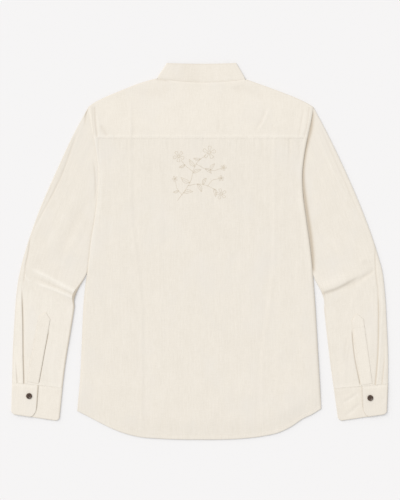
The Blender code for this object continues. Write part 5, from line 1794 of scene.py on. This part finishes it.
@dataclass
class Stitching:
    """Rows of machine or hand stitches, set along lines by Geometry Nodes."""

    name: str
    lines: Sequence[Array]
    thread: ThreadFinish
    spacing: float = 2.9
    length: float = 2.3
    width: float = 0.42
    lift: float = 0.02

    def tree(self) -> bpy.types.NodeTree:
        """Node tree that sets one small stitch at each step along the lines.

        Returns:
            The tree, with inputs for spacing, length and width in metres and for the thread.
        """
        known = bpy.data.node_groups.get("stitch row")
        if known:
            return known
        tree = bpy.data.node_groups.new("stitch row", "GeometryNodeTree")
        face = tree.interface
        face.new_socket("Geometry", in_out="INPUT", socket_type="NodeSocketGeometry")
        for label in ("Spacing", "Length", "Width"):
            face.new_socket(label, in_out="INPUT", socket_type="NodeSocketFloat")
        face.new_socket("Thread", in_out="INPUT", socket_type="NodeSocketMaterial")
        face.new_socket("Geometry", in_out="OUTPUT", socket_type="NodeSocketGeometry")
        builder = NodeBuilder(tree)
        enter = builder.node("NodeGroupInput")
        leave = builder.node("NodeGroupOutput")
        curve = builder.node("GeometryNodeMeshToCurve")
        points = builder.node("GeometryNodeCurveToPoints", mode="LENGTH")
        ball = builder.node("GeometryNodeMeshUVSphere")
        builder.feed(ball, {"Segments": 6, "Rings": 4, "Radius": 0.5})
        size = builder.node("ShaderNodeCombineXYZ")
        flat = builder.node("ShaderNodeMath", operation="MULTIPLY")
        wobble = builder.node("FunctionNodeRandomValue", data_type="FLOAT")
        wobble.inputs["Seed"].default_value = 7
        limits = [socket for socket in wobble.inputs if socket.type == "VALUE" and socket.enabled]
        for limit, value in zip(limits, (0.88, 1.12)):
            limit.default_value = value
        random_out = [socket for socket in wobble.outputs if socket.type == "VALUE" and socket.enabled][0]
        uneven = builder.node("ShaderNodeMath", operation="MULTIPLY")
        place = builder.node("GeometryNodeInstanceOnPoints")
        real = builder.node("GeometryNodeRealizeInstances")
        finish = builder.node("GeometryNodeSetMaterial")
        smooth = builder.node("GeometryNodeSetShadeSmooth")
        given, spot = enter.outputs, points.outputs
        builder.feed(curve, {0: given["Geometry"]})
        builder.feed(points, {0: curve.outputs[0], "Length": given["Spacing"]})
        stitch = {"Points": spot["Points"], "Rotation": spot["Rotation"], "Instance": ball.outputs["Mesh"]}
        builder.feed(place, stitch)
        builder.feed(uneven, {0: given["Length"], 1: random_out})
        builder.feed(flat, {0: given["Width"], 1: 0.8})
        builder.feed(size, {0: given["Width"], 1: flat.outputs[0], 2: uneven.outputs[0]})
        builder.feed(place, {"Scale": size.outputs[0]})
        builder.feed(smooth, {0: place.outputs[0]})
        builder.feed(real, {0: smooth.outputs[0]})
        builder.feed(finish, {0: real.outputs[0], "Material": given["Thread"]})
        builder.feed(leave, {0: finish.outputs[0]})
        return tree

    def make(self) -> bpy.types.Object:
        """Build the rows as one mesh."""
        verts: list[tuple[float, float, float]] = []
        edges: list[tuple[int, int]] = []
        for line in self.lines:
            start = len(verts)
            verts += [(x * MM, y * MM, (z + self.lift) * MM) for x, y, z in line]
            edges += [(start + step, start + step + 1) for step in range(len(line) - 1)]
        mesh = bpy.data.meshes.new(f"{self.name}_lines")
        mesh.from_pydata(verts, edges, [])
        carrier = add_object(f"{self.name}_lines", mesh)
        modifier = carrier.modifiers.new("stitches", "NODES")
        modifier.node_group = self.tree()
        values = {
            "Spacing": self.spacing * MM,
            "Length": self.length * MM,
            "Width": self.width * MM,
            "Thread": self.thread.material(),
        }
        for item in modifier.node_group.interface.items_tree:
            if item.in_out == "INPUT" and item.name in values:
                modifier[item.identifier] = values[item.name]
        made = evaluated_mesh(carrier)
        bpy.data.objects.remove(carrier)
        made.name = self.name
        made.shade_smooth()
        piece = add_object(self.name, made)
        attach(piece, "root")
        LOG.info("%s: %d faces", piece.name, len(made.polygons))
        return piece


@dataclass
class Embroidery:
    """Tonal outline embroidery below the yoke: a plain flowering sprig."""

    centre: Point = (-1.0, 161.0)

    @staticmethod
    def leaf(base: Point, turn: float, length: float, width: float) -> list[Array]:
        """Outline and midrib of a pointed leaf."""
        along = np.linspace(0.0, 1.0, 24)
        swell = width * np.sin(math.pi * along**0.85) * (1.0 - 0.15 * along)
        angle = math.radians(turn)
        ahead = np.array((math.cos(angle), math.sin(angle)))
        aside = np.array((-ahead[1], ahead[0]))
        curve = 0.10 * length * np.sin(math.pi * along)
        sides = []
        for sign in (-1.0, 1.0):
            offset = curve + 0.5 * sign * swell
            sides.append(np.array(base) + along[:, None] * length * ahead + offset[:, None] * aside)
        rib = np.array(base) + along[2:19, None] * length * ahead + curve[2:19, None] * aside
        return [np.concatenate([sides[0], sides[1][::-1]]), rib]

    @staticmethod
    def blossom(centre: Point, radius: float, petals: int, turn: float) -> list[Array]:
        """Rounded petals round a small ring."""
        lines = []
        for index in range(petals):
            middle = math.radians(turn + 360.0 * index / petals)
            spread_angle = 0.86 * math.pi / petals
            share = np.linspace(-1.0, 1.0, 26)
            angle = middle + spread_angle * share * (0.55 + 0.45 * (1.0 - share**2))
            reach = radius * (0.30 + 0.70 * (1.0 - np.abs(share) ** 3.2) ** 0.6)
            lines.append(np.array(centre) + np.stack([reach * np.cos(angle), reach * np.sin(angle)], -1))
        ring = np.linspace(0.0, math.tau, 18)
        lines.append(np.array(centre) + 0.2 * radius * np.stack([np.cos(ring), np.sin(ring)], -1))
        return lines

    def flat_lines(self) -> list[Array]:
        """All lines of the sprig round its own middle."""
        stems = [
            ([(-46, -55), (-30, -34), (-17, -12), (-12, 10), (-2, 28), (14, 40)], 40),
            ([(-24, -24), (-2, -20), (18, -24), (36, -34)], 26),
            ([(-13, 6), (-26, 16), (-38, 30)], 18),
            ([(-6, 22), (12, 12), (30, 8), (44, 12)], 22),
            ([(18, -24), (28, -12), (41, -9)], 16),
            ([(-36, -43), (-46, -30), (-50, -14)], 16),
        ]
        lines = [smooth_path(np.array(points, float), count) for points, count in stems]
        leaves = [
            # base, direction in degrees, length, width
            ((-33, -39), 8.0, 20.0, 8.0),
            ((-20, -17), 150.0, 21.0, 8.5),
            ((-4, -20), -62.0, 19.0, 7.5),
            ((8, -21), 62.0, 15.0, 6.5),
            ((31, -30), -80.0, 17.0, 7.0),
            ((-12, 3), 22.0, 17.0, 7.0),
            ((-9, 17), 128.0, 19.0, 7.5),
            ((3, 32), 172.0, 15.0, 6.0),
            ((13, 12), -38.0, 16.0, 6.5),
            ((24, 9), 58.0, 16.0, 6.5),
            ((-43, -34), 196.0, 12.0, 5.0),
            ((-30, 20), -158.0, 13.0, 5.5),
        ]
        for leaf in leaves:
            lines += self.leaf(*leaf)
        blossoms = [
            # centre, radius, petals, turn in degrees
            ((21, 46), 13.5, 5, 12.0),
            ((-43, 38), 11.5, 5, 50.0),
            ((46, -41), 11.0, 5, 30.0),
            ((51, 14), 6.0, 5, 0.0),
            ((46, -8), 5.5, 5, 20.0),
            ((-51, -9), 5.5, 5, 40.0),
        ]
        for blossom in blossoms:
            lines += self.blossom(*blossom)
        return lines

    def make(self, back: Back) -> bpy.types.Object:
        """Sew the sprig onto the back."""
        placed = []
        for line in self.flat_lines():
            x, y = (line + self.centre).T
            placed.append(np.stack([x, y, back.top(x, y)[0]], -1))
        return Stitching("back_embroidery", placed, TONAL_THREAD, 1.75, 2.0, 0.70, 0.05).make()


@dataclass
class Studio:
    """Camera straight above, pale floor, broad light from the upper left."""

    aim: Point = (0.000735, 0.0024)
    distance: float = 2.9207
    lens: float = 100.0
    floor_size: float = 6.0
    sun_strength: float = 1.62
    sun_softness: float = 34.0
    sun_colour: Colour = (1.0, 0.985, 0.965)
    sun_distance: float = 3.0
    sun_from: tuple[float, float, float] = (-0.52, 0.50, 0.9)
    ambient: float = 0.681
    skim_strength: float = 0.72
    skim_from: tuple[float, float, float] = (-0.80, 0.62, 0.45)

    def camera(self) -> None:
        """Add the camera at the photograph's viewpoint."""
        data = bpy.data.cameras.new("camera")
        data.lens = self.lens
        data.sensor_width = 36.0
        camera = add_object("camera", data)
        camera.location = (*self.aim, self.distance)
        bpy.context.scene.camera = camera

    def floor(self) -> None:
        """Add the floor that the shirt lies on."""
        half = 0.5 * self.floor_size
        mesh = bpy.data.meshes.new("floor")
        corners = [(-half, -half, 0.0), (half, -half, 0.0), (half, half, 0.0), (-half, half, 0.0)]
        mesh.from_pydata(corners, [], [(0, 1, 2, 3)])
        mesh.materials.append(FloorFinish().material())
        add_object("floor", mesh)

    def sun(self, name: str, strength: float, start: Sequence[float]) -> bpy.types.Object:
        """Add a soft sun that shines from a direction."""
        data = bpy.data.lights.new(name, "SUN")
        data.energy = strength
        data.angle = math.radians(self.sun_softness)
        data.color = self.sun_colour
        sun = add_object(name, data)
        sun.rotation_euler = Vector(start).to_track_quat("Z", "Y").to_euler()
        sun.location = Vector(start) * self.sun_distance
        return sun

    def lights(self) -> None:
        """Add the window's light, a low light that only the floor takes, and the even light all round."""
        self.sun("window", self.sun_strength, self.sun_from)
        skim = self.sun("skim", self.skim_strength, self.skim_from)
        only_floor = bpy.data.collections.new("only the floor")
        only_floor.objects.link(bpy.data.objects["floor"])
        skim.light_linking.receiver_collection = only_floor
        world = bpy.data.worlds.new("studio")
        world.use_nodes = True
        shade = world.node_tree.nodes["Background"]
        shade.inputs["Color"].default_value = (0.985, 0.99, 1.0, 1.0)
        shade.inputs["Strength"].default_value = self.ambient
        bpy.context.scene.world = world
        bpy.context.scene.view_settings.view_transform = "Standard"
        bpy.context.scene.view_settings.look = "None"

    def make(self) -> None:
        """Set up the whole studio."""
        self.camera()
        self.floor()
        self.lights()


LEFT_ARM = Sleeve(
    side=-1,
    table=LEFT_SLEEVE,
    seed=41,
    relief=relief(
        # line, height, width, painted shade (a painted highlight below 0), fade in, fade out, kind
        ([(-363, -33), (-336, -46.5), (-309, -60), (-285, -73),
            (-258, -86)], 1.35, 4.2, -0.2, 0.3, 0.04),
        ([(-358, -51), (-334, -61), (-309, -71.5), (-285, -82),
            (-258, -95)], -0.9, 1.9, 0.1, 0.3, 0.03),
        ([(-353, -64), (-334, -71), (-309, -80), (-285, -90),
            (-258, -101.5)], 0.95, 3.2, -0.18, 0.3, 0.05),
        ([(-363.5, -26), (-367, -44), (-363, -58), (-351, -66)], 0.7, 2.4, -0.14),
        ([(-239, 287), (-262, 235), (-293, 152), (-326, 88), (-357, 30)], -0.6, 2.2, 0.2),
        ([(-244, 281), (-268, 228), (-300, 152), (-332, 88)], 0, 4.5, 0.1),
        ([(-357, 45), (-359, 2.4), (-366, -32), (-370, -62), (-376.5, -84)], -0.5, 1.6, 0.36),
        ([(-224.7, 197), (-220.9, 172), (-218.9, 126), (-221, 98)], -0.4, 1.9, 0.24),
        ([(-361.5, 45), (-364, 2.4), (-371, -32), (-375, -58)], 0.25, 2.6),
        ([(-356, -70.5), (-345, -86), (-333, -103)], -0.35, 2.8, 0.06, 0.3, 0.5),
        ([(-349, -72), (-338, -87), (-322, -110)], 0.3, 3.5, 0, 0.3, 0.6),
        ([(-236.8, 303), (-238.8, 288), (-240.8, 272), (-243, 254)], -0.9, 2.5, 0.5, 0.05, 0.8),
        ([(-250, 270), (-256, 240), (-266, 205)], 0.35, 5, 0, 0.2, 0.6),
        ([(-240, 150), (-290, 60), (-330, -20)], 0.55, 10, -0.03),
        ([(-222, 130), (-262, 60), (-300, -30)], -0.5, 8, 0.05),
        ([(-300, 160), (-322, 108), (-340, 60)], -0.25, 4),
        ([(-245, 70), (-262, 20), (-290, -40)], 0.3, 7),
        ([(-300, -180), (-306, -230), (-312, -284)], 0.3, 6),
        ([(-286, -200), (-292, -240), (-298, -285)], -0.3, 4, 0, 0.3, 0.05),
        ([(-360, -130), (-358, -200), (-356, -275)], 0.3, 6, 0, 0.3, 0.05),
    ),
    slit=Crease([(-316, -163), (-326.2, -214), (-337.5, -277)], -0.8, 1.2, 0.8, 0.12, 0.01),
    bulge=Crease([(-325, -64), (-290, -80), (-250, -98)], 1.7, 9, 0, 0.7, 0),
    armhole_dip=0.25,
    inner_dip=0.35,
    pleat_bend=0.62,
    edge_painted_shade=0.30,
    shade=-0.06,
    pleats=[
        # share across at the top, at its start and at the cuff, start, height, painted shade in its groove
        (0.080, 0.020, 0.095, 0.74, 0.7, 0.35),
        (0.18, 0.038, 0.228, 0.07, 1.25, 0.8),
    ],
)
RIGHT_ARM = Sleeve(
    side=1,
    table=RIGHT_SLEEVE,
    seed=44,
    relief=relief(
        # line, height, width, painted shade (a painted highlight below 0), fade in, fade out, kind
        ([(256, -88), (285, -79), (318, -62), (346, -46)], 1.4, 4.9, 0.27, 0.02, 0.5, CreaseKind.STEP),
        ([(290, -84), (326, -66), (350, -50), (360, -32)], -0.9, 6, 0.12),
        ([(335, -24), (351, -18), (361, -26)], 0.7, 6),
        ([(368, 30), (370.3, -50), (375, -86), (377, -117)], -0.45, 1.5, 0.3),
        ([(237.5, 299), (235.6, 280), (233.6, 258), (227, 232), (220.8, 203), (217.4, 176),
            (217.2, 150), (219.8, 122), (225.6, 82), (231.6, 42), (236.4, 0),
            (238.6, -52)], -1.0, 4.4, 0.80, 0.04, 0.05),
        ([(364.5, -31), (361, -44), (350, -52), (334, -60)], -0.8, 3.8, 0.12),
        ([(380, -50), (383.5, -110), (381, -170), (376.5, -240),
            (374, -274)], 0.3, 1.8, -0.12, 0.3, 0.02),
        ([(243.5, 287), (262, 243), (292, 176), (324, 103), (356, 30)], -0.4, 2, 0.1),
        ([(237, 270), (254, 228), (280, 170), (310, 100)], 0.35, 3, -0.04),
        ([(373, 20), (375.5, -50), (381, -90), (384, -130)], 0.25, 2.6),
        ([(345, -48), (330, -92), (306, -140)], 0.35, 6),
        ([(241, 190), (252, 150), (262, 110)], -0.3, 5),
        ([(236, 130), (282, 50), (330, -10)], 0.35, 10),
        ([(230, 90), (262, 30), (305, -30)], -0.3, 8),
        ([(310, 140), (326, 90), (344, 40)], -0.25, 5),
        ([(300, -180), (305, -230), (309, -284)], 0.3, 6),
        ([(312, -172), (306, -205), (304, -240)], -0.5, 3, 0.08),
        ([(316, -195), (312, -215), (311, -240)], -0.4, 2.4, 0.07),
        ([(286, -190), (291, -240), (296, -287)], -0.3, 4, 0, 0.3, 0.05),
        ([(360, -140), (357, -210), (356, -280)], 0.3, 6, 0, 0.3, 0.05),
    ),
    slit=Crease([(319.5, -163), (325.5, -222), (337.5, -281)], -0.9, 1.2, 0.75, 0.12, 0.01),
    bulge=Crease([(335, -44), (300, -62), (248, -84)], 1.1, 10, 0, 0.6, 0),
    armhole_dip=0.4,
    inner_dip=1.5,
    pleat_bend=1.8,
    edge_painted_shade=0.04,
    pleats=[
        # share across at the top, at its start and at the cuff, start, height, painted shade in its groove
        (0.078, 0.050, 0.110, 0.62, 0.7, 0.4),
        (0.16, 0.106, 0.232, 0.07, 1.25, 0.6),
    ],
)

LEFT_PLACKET = Placket(LEFT_ARM, base=(-350.5, -276.5), tip=(-323.5, -128.0))
RIGHT_PLACKET = Placket(RIGHT_ARM, base=(350.5, -280.0), tip=(330.0, -131.5), wave=0.16)
LEFT_CUFF = Cuff(
    side=-1,
    seam_outer=(-394.0, -275.56),
    seam_inner=(-288.0, -286.56),
    free_outer=(-396.0, -342.0),
    free_inner=(-295.0, -357.0),
    lap_share=0.52,
)
RIGHT_CUFF_RELIEF = relief(
    # line, height, width, painted shade (a painted highlight below 0), fade in, fade out, kind
    ([(296, -322), (314, -313), (334, -299)], -0.55, 3.6, 0, 0.3, 0.1),
    ([(298, -312), (314, -304), (330, -293)], 0.4, 3.6),
    ([(300, -350), (320, -338), (337, -322)], -0.5, 4, 0, 0.3, 0.1),
    ([(300, -338), (318, -328), (334, -314)], 0.4, 4),
    ([(372, -322), (384, -314), (392, -303)], -0.3, 4),
)
RIGHT_CUFF = Cuff(
    side=1,
    seam_outer=(396.0, -278.56),
    seam_inner=(282.0, -288.56),
    free_outer=(393.5, -342.0),
    free_inner=(291.5, -357.0),
    lap_share=0.49,
    relief=RIGHT_CUFF_RELIEF,
    lap_painted_shade=0.4,
    shade=0.07,
)
CUFF_BUTTONS = [
    Button("cuff_button_left", "button_cuff_left", (-358.0, -304.0), 5.4, 6.25, 2.5),
    Button("cuff_button_right", "button_cuff_right", (358.0, -308.0), 5.4, 6.25, 2.5),
]


def front_buttons() -> list[Button]:
    """The hidden front buttons, facing down."""
    found = []
    for index in range(FRONT_BUTTON_COUNT):
        centre = (CENTRE_X, FRONT_BUTTON_TOP_Y - FRONT_BUTTON_SPACING * index)
        name, node = f"front_button_{index + 1}", f"button_front_{index + 1}"
        found.append(Button(name, node, centre, 0.0, 5.75, 2.2, face_up=False))
    return found


def main() -> None:
    """Build the shirt from the surface up, then dress and light it."""
    logging.basicConfig(level=logging.INFO, format="%(message)s")
    Studio().make()
    back = Back()
    fronts = [Front(-1), Front(1)]
    for front in fronts:
        front.make()
    back.make()
    yoke = Yoke()
    yoke.make()
    band = CollarBand()
    band.make()
    sewn: list[Placket | Cuff | Back | Yoke | CollarBand | Front] = []
    for arm, placket, cuff in (
        (LEFT_ARM, LEFT_PLACKET, LEFT_CUFF),
        (RIGHT_ARM, RIGHT_PLACKET, RIGHT_CUFF),
    ):
        for piece in (arm, placket, cuff):
            piece.make()
        sewn += [placket, cuff]
    for button in front_buttons() + CUFF_BUTTONS:
        button.make()
    sewn += [back, yoke, band, *fronts]
    seams = [line for piece in sewn for line in piece.stitches]
    Stitching("shirt_seams", seams, SEWING_THREAD).make()
    Embroidery().make(back)


if __name__ == "__main__":
    main()
